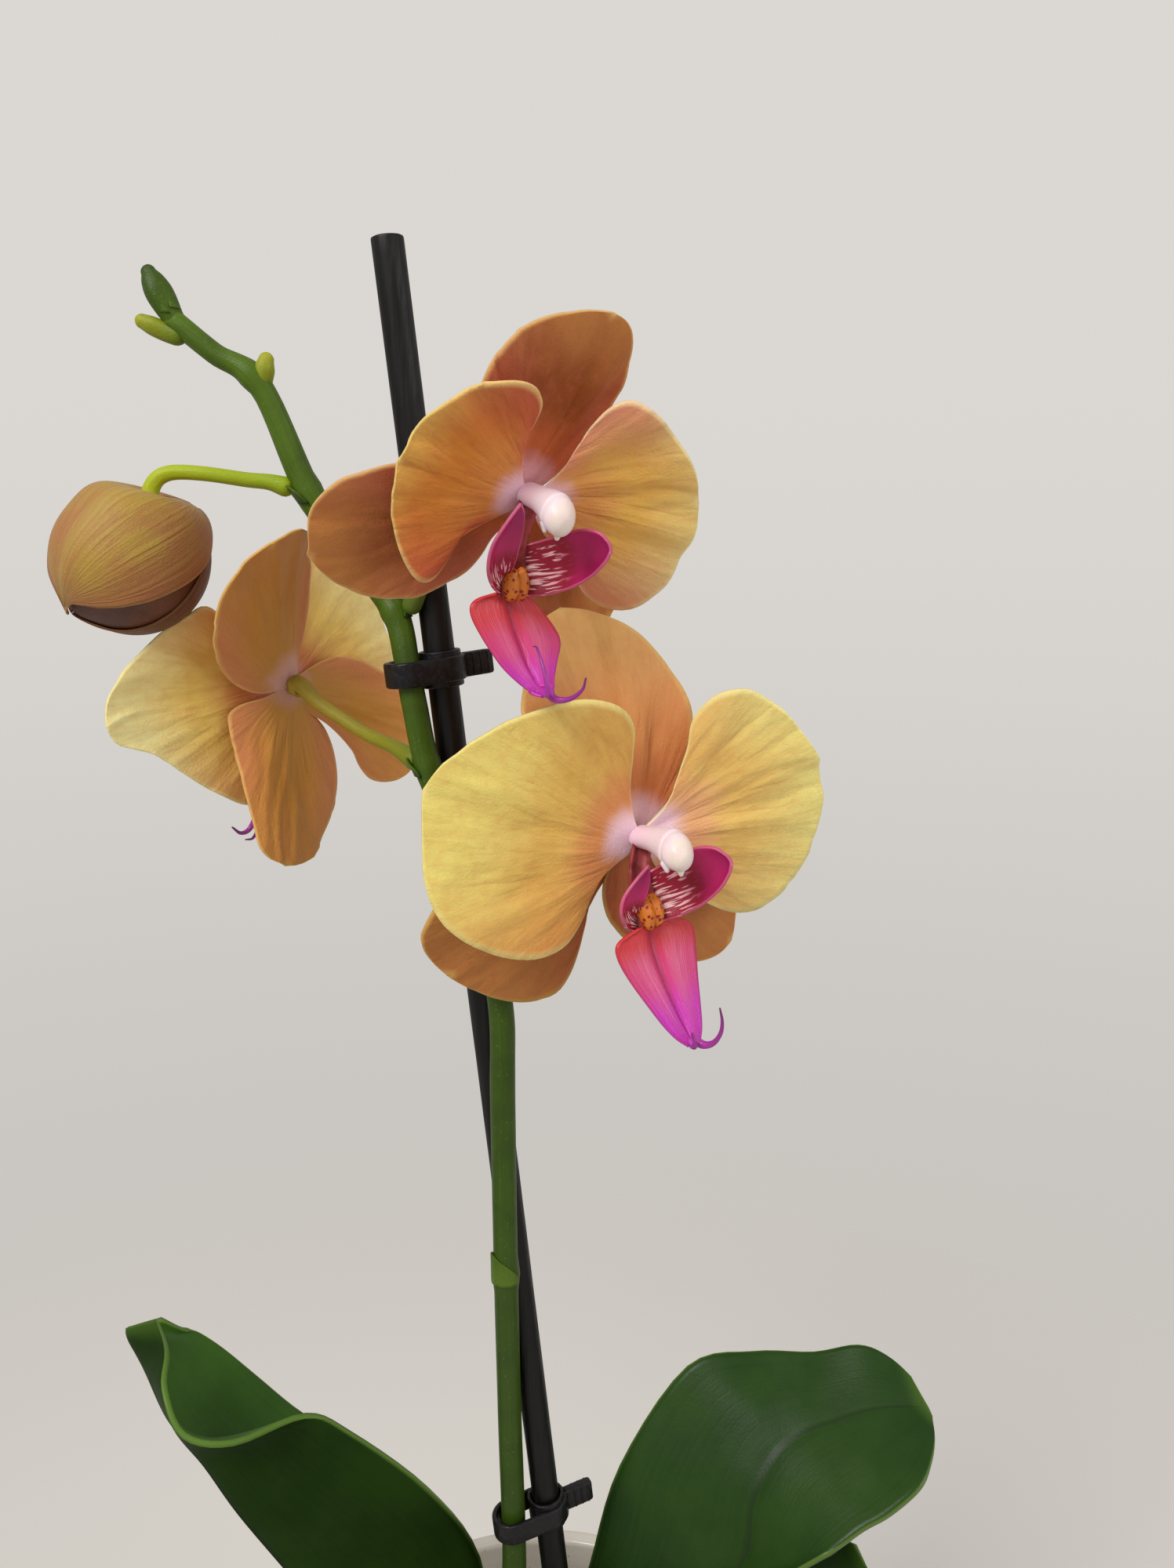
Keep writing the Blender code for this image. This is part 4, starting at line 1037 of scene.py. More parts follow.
def makeSpike():
    part = newPart()
    path = []
    for x, y, z, radius in smoothPath(spikeSettings["path"], 9):
        swell = sum(size * math.exp(-((z - height) / 1.5) ** 2) for height, size in spikeSettings["nodes"])
        path.append((x, y, z, radius + swell + 0.06 * wobble(z * 0.12, 1.0, 4)))
    addTube(part, roundOff(path, atStart=False), sides=24)
    makePiece("flower_spike", part, [spikeGreen], ["flower_spike"])


def scaleRows(centre, heading, height, spreadAngle, radius, lean, flare=1.0):
    # a small pointed scale that clasps the stem
    rows = []
    for i in range(10):
        t = i / 9
        half = spreadAngle * (1 - t ** 1.8) ** 0.8
        row = []
        for s in range(-6, 7):
            angle = math.radians(heading + half * s / 6)
            out = radius + flare * (0.35 * t + 0.5 * t ** 3)
            around = Vector((out * math.cos(angle), out * math.sin(angle), height * t))
            row.append(centre + lean * height * t + around)
        rows.append(row)
    return rows


def makeScales():
    part = newPart()
    addGrid(part, scaleRows(spikePoint(245.0), 205, 7.0, 130, 3.0, Vector((0.0, -0.03, 0.0)), 0.05))
    makePiece("spike_bract", part, [bractGreen], ["spike_bract"], thickness=0.35)
    part = newPart()
    for height, heading, tall, lean in ((332.5, 320, 3.6, (-0.3, 0, 0)), (353.0, 170, 3.2, (-0.3, 0, 0)),
                                        (383.0, 20, 3.4, (-0.4, 0, 0)), (404.0, 190, 4.0, (-0.6, 0, 0))):
        addGrid(part, scaleRows(spikePoint(height), heading, tall, 70, 3.0, Vector(lean)))
    makePiece("spike_small_bracts", part, [spikeGreen], thickness=0.35)


def backOf(name, distance):
    spec = flowerSettings[name]
    return tuple(flowerMatrix(spec) @ Vector((spec["hub"][0] * mm, spec["hub"][1] * mm, -distance * mm)) / mm)


stalkSettings = {
    "upper_flower_stalk": {"finish": "flower", "knots": (
        (-21.0, -3.6, 385.4, 1.9), (-18.4, -5.0, 390.4, 1.5), (-15.5, -6.5, 395.0, 1.45),
        (-10.5, -10.0, 404.5, 1.5),
        (*backOf("upper_flower", 9.0), 1.7), (*backOf("upper_flower", 5.2), 2.0),
        (*backOf("upper_flower", 3.4), 2.7))},
    "lower_flower_stalk": {"finish": "flower", "knots": (
        (-7.4, -9.6, 334.0, 1.9), (-4.8, -9.3, 338.0, 1.5), (-2.0, -9.0, 341.0, 1.45),
        (6.0, -8.0, 346.0, 1.5), (*backOf("lower_flower", 8.0), 1.7), (*backOf("lower_flower", 5.2), 2.0),
        (*backOf("lower_flower", 3.4), 2.7))},
    "rear_flower_stalk": {"finish": "olive", "knots": (
        (-21.6, -2.6, 355.4, 2.1), (-25.8, 0.5, 357.3, 1.5), (-31.7, 5.0, 359.0, 1.35),
        (-38.0, 8.6, 362.0, 1.35),
        (-43.2, 11.0, 365.0, 1.5), (*backOf("rear_flower", 4.6), 1.8), (*backOf("rear_flower", 3.2), 2.3))},
    "bud_stalk": {"finish": "green", "knots": (
        (-44.7, -0.3, 407.2, 1.9), (-47.6, -0.6, 408.0, 1.5), (-51.6, -1.0, 408.4, 1.4),
        (-58.7, -2.0, 409.4, 1.35),
        (-64.4, -2.2, 409.7, 1.35), (-67.4, -2.4, 408.8, 1.4), (-69.0, -2.5, 406.8, 1.5),
        (-69.4, -2.6, 404.8, 1.6))},
}


stalkFinishes = {"green": stalkGreen, "flower": flowerStalkGreen, "olive": stalkOlive}


def makeStalks():
    for name, stalk in stalkSettings.items():
        part = newPart()
        addTube(part, roundOff(smoothPath(stalk["knots"], 7)), sides=20,
                shape=lambda angle, share: 1 + 0.05 * math.cos(6 * angle) * ease(0.3, 0.7, share))
        makePiece(name, part, [stalkFinishes[stalk["finish"]]], [name])


budSettings = {
    "centre": (-73.2, -3.0, 393.7), "tipDirection": (-0.64, -0.42, -0.61), "halves": (14.3, 14.3, 14.6),
    # each sepal: its middle about the bud's axis, its share of the outline's width, how far it stands off
    "sepals": ((55, 1.0, 0.35), (-103, 0.72, -0.35), (172, 0.74, -0.45)),
    # half width of a sepal, in degrees, against the angle from the bud's tip
    "outline": ((0, 2), (9, 14), (16, 27), (25, 45), (37, 60), (51, 69), (70, 76), (89, 81), (110, 87),
                (130, 92), (152, 92), (176, 80)),
    "stalkSide": (0.30, 0.03, 0.95), "dimple": 2.6,
}


def budPoint(polar, angle, grow, hollow):
    across, aside, along = budSettings["halves"]
    pinch = 1 - 0.12 * math.exp(-(polar / 0.40) ** 2)          # a blunt point at the tip
    reach = 1 + 0.06 * math.exp(-(polar / 0.26) ** 2)
    point = Vector(((across * pinch + grow) * math.sin(polar) * math.cos(angle),
                    (aside * pinch + grow) * math.sin(polar) * math.sin(angle),
                    (along * reach + grow) * math.cos(polar)))
    away = math.acos(max(-1.0, min(1.0, point.normalized().dot(hollow))))
    return point * (1 - budSettings["dimple"] / 14 * math.exp(-(away / 0.34) ** 2)
                    + 0.06 * math.exp(-((away - 0.72) / 0.28) ** 2))


def sepalWidth(polar):
    knots = budSettings["outline"]
    for low, high in zip(knots, knots[1:]):
        if polar <= high[0]:
            return mix(low[1], high[1], (polar - low[0]) / (high[0] - low[0]))
    return knots[-1][1]


def makeLargeBud():
    axis = Vector(budSettings["tipDirection"]).normalized()
    right = Vector((0, 0, 1)).cross(axis).normalized()
    turn = Matrix((right, axis.cross(right), axis)).transposed()
    hollow = (turn.transposed() @ Vector(budSettings["stalkSide"])).normalized()
    place = Matrix.Translation(Vector(budSettings["centre"]) * mm) @ turn.to_4x4()
    part = newPart()
    rows = []
    for i in range(36):
        polar = math.radians(2 + 176 * i / 35)
        rows.append([budPoint(polar, 2 * math.pi * s / 48, -1.1, hollow) for s in range(48)])
    # the body under the sepals carries the dark painted shade of the gaps
    first = addGrid(part, rows, slot=1, loop=True)
    addCap(part, first, 48, 1, 0.0)
    addCap(part, first + 35 * 48, 48, 1, 1.0, flip=True)
    for number, (middle, share, grow) in enumerate(budSettings["sepals"]):
        rows = []
        for i in range(44):
            t = i / 43                              # 0 at the stalk, 1 at the tip
            polar = mix(175, 1.5, t)
            row = []
            for s in range(-18, 19):
                side = s / 18
                angle = math.radians(middle + sepalWidth(polar) * share * side)
                midway = 1 - abs(2 * t - 1)
                proud = grow + 0.30 * abs(side) ** 5 + 0.25 * math.exp(-(side / 0.07) ** 2) * midway
                proud += 0.4 * wobble(side * 2.5, t * 2.5, number + 31) * midway
                row.append(budPoint(math.radians(polar), angle, proud - 0.3, hollow))
            rows.append(row)
        # the upper sepal keeps its own finish, the lower two take the darker copy with painted shade
        addGrid(part, rows, slot=0 if number == 0 else 2)
    makePiece("large_bud", part, [budSepal, budCoreShade, budLowerShaded], ["large_bud"], place,
              thickness=0.45)


smallBuds = {
    "tip_bud": {"finish": "tip", "knots": ((-62.6, 0.0, 435.7, 1.7), (-63.8, 0.0, 437.4, 1.95),
                                           (-64.9, 0.0, 439.4, 2.35),
                                           (-66.0, 0.0, 441.6, 2.45), (-66.9, 0.0, 443.6, 2.0),
                                           (-67.5, 0.0, 445.0, 1.3))},
    "side_bud_left": {"finish": "yellow", "knots": ((-63.2, 0.2, 434.2, 1.9), (-65.4, 0.2, 434.9, 1.75),
                                                    (-67.6, 0.1, 435.9, 1.7), (-69.3, 0.0, 436.6, 1.35))},
    "side_bud_right": {"finish": "yellow", "knots": ((-47.6, -0.1, 424.6, 1.5), (-47.8, -0.2, 426.2, 1.75),
                                                     (-47.4, -0.3, 428.2, 1.85),
                                                     (-46.9, -0.4, 429.8, 1.4))},
}


def makeSmallBuds():
    for name, bud in smallBuds.items():
        part = newPart()
        addTube(part, roundOff(smoothPath(bud["knots"], 5)), sides=20,
                shape=lambda angle, share: 1 + 0.05 * math.cos(3 * angle + 4 * share))
        if name == "tip_bud":       # the folded scales round the growing point
            for heading, low, tall in ((200, 0.4, 3.6), (20, 1.4, 3.4)):
                foot = Vector(bud["knots"][1][:3]) + Vector((-0.46, 0, 0.88)) * low
                addGrid(part, scaleRows(foot, heading, tall, 85, 2.35, Vector((-0.50, 0, 0)), 0.1))
        finish = budTipGreen if bud["finish"] == "tip" else budYellowGreen
        makePiece(name, part, [finish], [name], thickness=0.12 if name == "tip_bud" else 0.0)


makeSpike()
makeScales()
makeStalks()
makeLargeBud()
makeSmallBuds()
print("spike, stalks and buds made")


# ---- leaves, each three rails from base to tip: near margin, midrib, far margin

leafSettings = {
    "leaf_left_upper": {"near": (
        (-10.5, 4, 124), (-12, 4, 142), (-13, 4, 166), (-23, -4, 191), (-39, -7, 208), (-48, -9, 214),
        (-60, -20.5, 217), (-69.5, -22, 220), (-74.6, -17, 226.6), (-76.6, -9, 229.6), (-82.5, 2, 229)),
        "middle": (
        (-11.5, 8, 115), (-24, 0, 134), (-42, -9, 158), (-53, -10, 176), (-63, -10, 191), (-70, -9, 202),
        (-76, -7, 208), (-80, -4, 213), (-85, 0, 219), (-89, 3, 223), (-91, 6, 224)), "far": (
        (-10, 12, 123), (-14, 16, 134), (-19, 20, 152), (-31, 19, 170), (-46, 18, 186), (-56, 17, 193),
        (-66, 15, 205), (-73, 14, 213), (-78, 12, 219), (-80, 10, 221), (-84, 8, 225))},
    "leaf_right_upper": {"near": (
        (6.8, 6, 124), (34, -5, 153), (60, -12, 179), (66, -12, 183), (72, -11, 187), (78, -10, 190),
        (85, -7, 194), (88.6, -2, 196.2), (90.8, 3.5, 197.9), (91.4, 8.6, 199)), "middle": (
        (7.4, 9, 116), (28, 5, 141), (47, 1, 166), (50, 4, 180), (55, 8, 189), (61, 10, 193),
        (69, 11, 195.5), (78, 12, 198), (86, 11.5, 199.2), (91.2, 10.5, 199.8)), "far": (
        (5, 13, 124), (9, 14, 139), (13, 13, 156), (20, 16, 180), (36, 21.5, 202.5), (52, 24, 204.6),
        (67, 25, 203.6), (77.5, 24, 206.3), (84, 21.6, 205), (88.6, 17.2, 202.6), (91, 12.4, 200.2))},
    "leaf_right_lower": {"near": ((7.4, 6.2, 113.5), (30, -8, 136), (50, -14, 156), (66, -11, 166),
                                  (76, -3, 168)),
                         "middle": ((8.0, 9, 109.2), (30, 4, 127), (52, 2, 149), (68, 2, 160),
                                    (77, 2, 164)),
                         "far": ((7.0, 12, 113.5), (26, 20, 133), (46, 21, 152), (64, 17, 163),
                                 (75, 7, 166))},
    "leaf_left_lower": {"near": ((-11.6, 4, 114), (-32, -10, 126), (-58, -16, 134), (-80, -12, 135),
                                 (-95, 0, 128)),
                        "middle": ((-12.6, 8, 109.4), (-33, 5, 119), (-60, 4, 127), (-83, 4, 129),
                                   (-96, 4, 126)),
                        "far": ((-11.4, 12, 114), (-30, 22, 125), (-57, 24, 133), (-79, 20, 134),
                                (-94, 9, 128))},
}
leafThickness = 1.2


def makeLeaves():
    for name, leaf in leafSettings.items():
        steps = 5 if len(leaf["near"]) > 6 else 11
        rows = railsToRows(leaf["near"], leaf["middle"], leaf["far"], steps, 33, 1.22)
        for r, row in enumerate(rows):          # the midrib lies in a narrow channel
            t = r / (len(rows) - 1)
            for i, point in enumerate(row):
                side = 2 * i / 32 - 1
                down = (row[0] + row[-1]) / 2 - row[16]
                if down.length > 0.5:
                    row[i] = point - down.normalized() * 0.55 * math.exp(-(side / 0.05) ** 2) * (1 - t)
        part = newPart()
        onLeft = rows[-1][16].x < 0
        addGrid(part, rows if onLeft else [row[::-1] for row in rows])
        # the inner sides of the left leaves take a brighter copy of the top as painted light, every underside a
        # darker copy as painted shade
        makePiece(name, part, [leafInnerLit if onLeft else leafTop, leafUnderShaded], [name],
                  thickness=leafThickness, backSlot=1)


makeLeaves()
print("leaves made")


# ---- stick and clips

stickSettings = {"foot": (19.4, 0.0, 20.0), "top": (-24.1, 0.0, 451.0), "radius": 3.0, "sides": 40}
clipSettings = {"heights": {"upper_clip": 373.0, "lower_clip": 183.0}, "tail": 11.0, "band": 4.9,
                "slot": 3.55,
                "bandHigh": 4.8, "collarHigh": 7.0, "collar": 4.1, "soften": 0.45}


def stickPoint(height):
    foot, top = Vector(stickSettings["foot"]), Vector(stickSettings["top"])
    return foot.lerp(top, (height - foot.z) / (top.z - foot.z))


def blackMaterial(name, dark, pale, roughness, streaks):
    material, tree, shader = newMaterial(name, Roughness=roughness, Specular_IOR_Level=0.3)
    place = objectPlace(tree)
    stretched = put(tree, "Mapping", {"Vector": place, "Scale": (1.0, 1.0, streaks)}).outputs[0]
    wear = useGroup(tree, softMottle, Vector=stretched, Scale=900.0, Low=0.42, High=0.72)["Mask"]
    patch = useGroup(tree, softMottle, Vector=place, Scale=90.0, Low=0.4, High=0.8)["Mask"]
    both = plus(tree, times(tree, wear, 0.5), times(tree, patch, 0.35))
    tree.links.new(blend(tree, both, srgb(*dark), srgb(*pale)), shader.inputs["Base Color"])
    uneven = spread(tree, wear, 0.0, 1.0, roughness - 0.06, roughness + 0.12)
    tree.links.new(uneven, shader.inputs["Roughness"])
    bump(tree, shader, wear, 0.00006)
    return material


stickBlack = blackMaterial("stickBlack", (5, 4, 4), (24, 20, 20), 0.5, 0.06)
clipBlack = blackMaterial("clipBlack", (16, 14, 16), (34, 32, 34), 0.4, 1.0)


def makeStick():
    foot, top = Vector(stickSettings["foot"]), Vector(stickSettings["top"])
    radius = stickSettings["radius"]
    path = []
    for step in range(121):
        point = foot.lerp(top, step / 120)
        path.append([*point, radius * (1 + 0.008 * wobble(step * 0.35, 2.0, 6))])
    along = (top - foot).normalized()
    path[-1][3] = radius * 0.90                 # the cut end has a small soft edge
    path[-1:-1] = [[*(top - along * 0.45), radius], [*(top - along * 0.12), radius * 0.975]]
    path.append([*(top - along * 0.02), radius * 0.55])
    part = newPart()
    addTube(part, path, sides=stickSettings["sides"],
            shape=lambda angle, share: 1 + 0.006 * math.cos(9 * angle) + 0.004 * math.sin(17 * angle))
    makePiece("support_stick", part, [stickBlack], ["support_stick"])


def softRectangle(halfWide, halfHigh, soften, steps=4):
    points = []
    for cornerX, cornerY, start in ((1, 1, 0), (-1, 1, 90), (-1, -1, 180), (1, -1, 270)):
        for step in range(steps + 1):
            angle = math.radians(start + 90 * step / steps)
            points.append((cornerX * (halfWide - soften) + soften * math.cos(angle),
                           cornerY * (halfHigh - soften) + soften * math.sin(angle)))
    return points


def addRing(part, line, halfThick, halfHigh, soften):
    # line knots are x, y and the outward direction there
    rows = []
    for x, y, outX, outY in line + line[:1]:
        rows.append([(x + outX * a, y + outY * a, b) for a, b in softRectangle(halfThick, halfHigh, soften)])
    addGrid(part, rows, loop=True)


def roundLine(centreX, radius, start, end, steps):
    line = []
    for step in range(steps + 1):
        angle = math.radians(mix(start, end, step / steps))
        outX, outY = math.cos(angle), math.sin(angle)
        line.append((centreX + radius * outX, radius * outY, outX, outY))
    return line


def makeClip(name, height):
    onStick, onSpike = stickPoint(height), spikePoint(height)
    reach = (onSpike - onStick).to_2d().length
    band, slotRadius, tail = clipSettings["band"], clipSettings["slot"], clipSettings["tail"]
    part = newPart()
    middle, thick = (band + slotRadius) / 2, (band - slotRadius) / 2
    line = (roundLine(0, middle, -90, 90, 24)
            + roundLine(-reach, middle - 0.25, 90, 270, 24))
    addRing(part, line, thick - 0.12, clipSettings["bandHigh"] / 2, clipSettings["soften"])
    collarMiddle = (clipSettings["collar"] + stickSettings["radius"] + 0.3) / 2
    collarThick = (clipSettings["collar"] - stickSettings["radius"] - 0.3) / 2
    addRing(part, roundLine(0, collarMiddle, 0, 352, 44), collarThick, clipSettings["collarHigh"] / 2, 0.3)
    rows = []
    for x, shrink in ((band - 0.9, 0.0), (band + 0.6, 0.0), (tail - 1.2, 0.0), (tail - 0.4, 0.06),
                      (tail - 0.1, 0.25), (tail, 0.55)):
        rows.append([(x, a, b) for a, b in softRectangle(1.1 - shrink, 2.4 - shrink, 0.4)])
    first = addGrid(part, rows, loop=True)
    addCap(part, first + (len(rows) - 1) * len(rows[0]), len(rows[0]), 0, 1.0)
    addCap(part, first, len(rows[0]), 0, 0.0, flip=True)
    for x in (6.6, 8.2, 9.8):                   # grip ribs on the tail
        for hand in (-1, 1):
            rib = [(x, hand * 1.12, -2.0, 0.22), (x, hand * 1.12, 0.0, 0.22), (x, hand * 1.12, 2.0, 0.22)]
            addTube(part, roundOff(rib), sides=8)
    foot, top = Vector(stickSettings["foot"]), Vector(stickSettings["top"])
    toward = math.atan2(onStick.y - onSpike.y, onStick.x - onSpike.x)
    lean = Matrix.Rotation(math.atan2(top.x - foot.x, top.z - foot.z), 4, "Y")
    place = Matrix.Translation(onStick * mm) @ lean @ Matrix.Rotation(toward, 4, "Z")
    makePiece(name, part, [clipBlack], [name], place)


makeStick()
for clipName, clipHeight in clipSettings["heights"].items():
    makeClip(clipName, clipHeight)
print("stick and clips made")


# ---- pot, bark, roots and crown

potSettings = {
    # radius and height, down the outside, under the foot and back up the inside
    "profile": ((56.2, 104.0), (56.9, 117.6), (57.3, 119.2), (58.4, 119.95), (59.6, 119.9), (60.5, 119.3),
                (60.95, 118.0),
                (61.0, 112.0), (60.95, 108.9), (60.4, 107.0), (59.0, 105.3), (58.1, 103.6), (57.2, 98.0),
                (54.0, 75.0),
                (50.6, 50.0), (47.0, 25.0), (44.2, 6.5), (43.4, 3.0), (42.6, 1.2), (41.2, 0.3),
                (39.6, 0.05), (38.0, 0.3), (37.2, 1.4), (36.6, 1.6), (0.02, 1.6)),
    "sides": 144,
    "barkSeed": 17, "barkCount": 190,
}


def potMaterial():
    material, tree, shader = newMaterial("potGlaze", Roughness=0.3, Specular_IOR_Level=0.5, Coat_Weight=0.35,
                                         Coat_Roughness=0.12)
    place = objectPlace(tree)
    cloud = useGroup(tree, softMottle, Vector=place, Scale=26.0, Low=0.3, High=0.7)["Mask"]
    base = blend(tree, cloud, srgb(226, 220, 208), srgb(214, 206, 192))
    specks = put(tree, "TexVoronoi", {"Vector": place, "Scale": 330.0})
    dot = spread(tree, specks.outputs["Distance"], 0.05, 0.13, 0.55, 0.0)
    speckled = blend(tree, dot, base, srgb(150, 132, 108))
    height = put(tree, "SeparateXYZ", {0: place}).outputs["Z"]
    foot = spread(tree, height, 0.0005, 0.0035, 1.0, 0.0)
    tree.links.new(blend(tree, foot, speckled, srgb(186, 160, 130)), shader.inputs["Base Color"])
    rough = plus(tree, times(tree, foot, 0.4), 0.28)
    tree.links.new(plus(tree, rough, times(tree, cloud, 0.06)), shader.inputs["Roughness"])
    flattened = put(tree, "Mapping", {"Vector": place, "Scale": (0.15, 0.15, 1.0)}).outputs[0]
    rings = put(tree, "TexNoise", {"Vector": flattened, "Scale": 240.0, "Detail": 2.0})
    bump(tree, shader, rings.outputs[0], 0.00025)
    return material


def barkMaterial(name, dark, light):
    material, tree, shader = newMaterial(name, Roughness=0.85, Specular_IOR_Level=0.25)
    place = objectPlace(tree)
    patch = useGroup(tree, softMottle, Vector=place, Scale=110.0, Low=0.3, High=0.7)["Mask"]
    stretched = put(tree, "Mapping", {"Vector": place, "Scale": (1.0, 0.3, 1.0)}).outputs[0]
    fibre = put(tree, "TexNoise", {"Vector": stretched, "Scale": 900.0, "Detail": 5.0, "Roughness": 0.65})
    base = blend(tree, patch, srgb(*dark), srgb(*light))
    grainy = blend(tree, spread(tree, fibre.outputs[0], 0.35, 0.7, 0.0, 0.7), base, srgb(58, 38, 26))
    tree.links.new(grainy, shader.inputs["Base Color"])
    bump(tree, shader, plus(tree, times(tree, fibre.outputs[0], 1.4), patch), 0.0006)
    return material


def rootMaterial():
    material, tree, shader = newMaterial("aerialRoot", Roughness=0.72, Specular_IOR_Level=0.3)
    place = objectPlace(tree)
    parts = put(tree, "SeparateXYZ", {0: bladePlace(tree)})
    velvet = ramp(tree, parts.outputs["Y"], [(0.0, srgb(132, 138, 104)), (0.3, srgb(168, 172, 152)),
                                             (0.86, srgb(158, 166, 142)), (0.97, srgb(104, 128, 60))])
    patch = useGroup(tree, softMottle, Vector=place, Scale=260.0, Low=0.4, High=0.7)["Mask"]
    tree.links.new(blend(tree, times(tree, patch, 0.5), velvet, srgb(120, 126, 98)),
                   shader.inputs["Base Color"])
    bump(tree, shader, useGroup(tree, cellGrain, Vector=place, Scale=1300.0)["Height"], 0.00025)
    return material


potGlaze = potMaterial()
barkBrown = barkMaterial("barkBrown", (98, 62, 40), (140, 96, 62))
barkDark = barkMaterial("barkDark", (62, 42, 30), (92, 62, 42))
rootGrey = rootMaterial()

rootSettings = {"crown": (-2.0, 7.0), "arch": ((7.8, 111.2), (11.0, 112.9), (15.0, 113.5), (25.0, 112.0),
                                               (34.0, 109.4)),
                "radii": (1.9, 2.05, 2.1, 2.0, 1.5), "headings": ((295, 1.0), (58, 0.85), (95, 1.0),
                                                                  (132, 0.9))}


def makePot():
    part = newPart()
    rows = []
    for radius, height in smoothPath(potSettings["profile"], 2):
        radius = max(min(radius, 61.0), 0.02)
        row = []
        for s in range(potSettings["sides"]):
            angle = 2 * math.pi * s / potSettings["sides"]
            row.append((radius * math.cos(angle), radius * math.sin(angle), max(height, 0.0)))
        rows.append(row)
    addGrid(part, rows, loop=True)
    inner = []
    for share, drop in ((1.0, 0.0), (0.9, 20.0), (0.74, 96.0), (0.02, 98.0)):
        inner.append([(x * share, y * share, 104.0 - drop) for x, y, z in rows[0]])
    addGrid(part, inner, loop=True)
    makePiece("pot", part, [potGlaze], ["pot"])


def rootPaths():
    x, y = rootSettings["crown"]
    for heading, reach in rootSettings["headings"]:
        angle = math.radians(heading)
        knots = []
        for (distance, height), radius in zip(rootSettings["arch"], rootSettings["radii"]):
            out = 7.8 + (distance - 7.8) * reach
            knots.append((x + out * math.cos(angle), y + out * math.sin(angle), height, radius))
        yield knots


def makeRoots():
    for number, knots in enumerate(rootPaths(), 1):
        part = newPart()
        path = []
        for x, y, z, radius in smoothPath(knots, 6):
            path.append((x, y, z, radius * (1 + 0.05 * wobble(x * 0.4, y * 0.4, number))))
        addTube(part, roundOff(path), sides=18)
        makePiece(f"aerial_root_{number}", part, [rootGrey], [f"aerial_root_{number}"])


def makeCrown():
    part = newPart()
    x, y = rootSettings["crown"]
    knots = ((x, y, 98.2, 6.2), (x, y, 103.0, 6.5), (x, y, 109.0, 6.6), (x, y, 114.0, 6.3), (x, y, 118.5, 5.4),
             (x, y, 121.0, 3.9), (x, y, 122.4, 1.8))
    addTube(part, smoothPath(knots, 4), sides=36,
            shape=lambda angle, share: 1 + 0.035 * math.cos(2 * angle)
            + 0.012 * math.sin(9 * angle + 5 * share))
    for heading, low, tall in ((0, 105.0, 10.5), (180, 106.0, 11.5), (0, 111.0, 9.0), (180, 112.0, 8.0)):
        rows = []
        for i in range(9):
            t = i / 8
            row = []
            for s in range(-10, 11):
                angle = math.radians(heading + 82 * (1 - 0.75 * t ** 2) * s / 10)
                out = 6.55 - 2.2 * ease(108, 124, low + tall * t)
                row.append((x + out * math.cos(angle), y + out * math.sin(angle), low + tall * t))
            rows.append(row)
        addGrid(part, rows)
    makePiece("crown", part, [crownGreen], ["crown"])


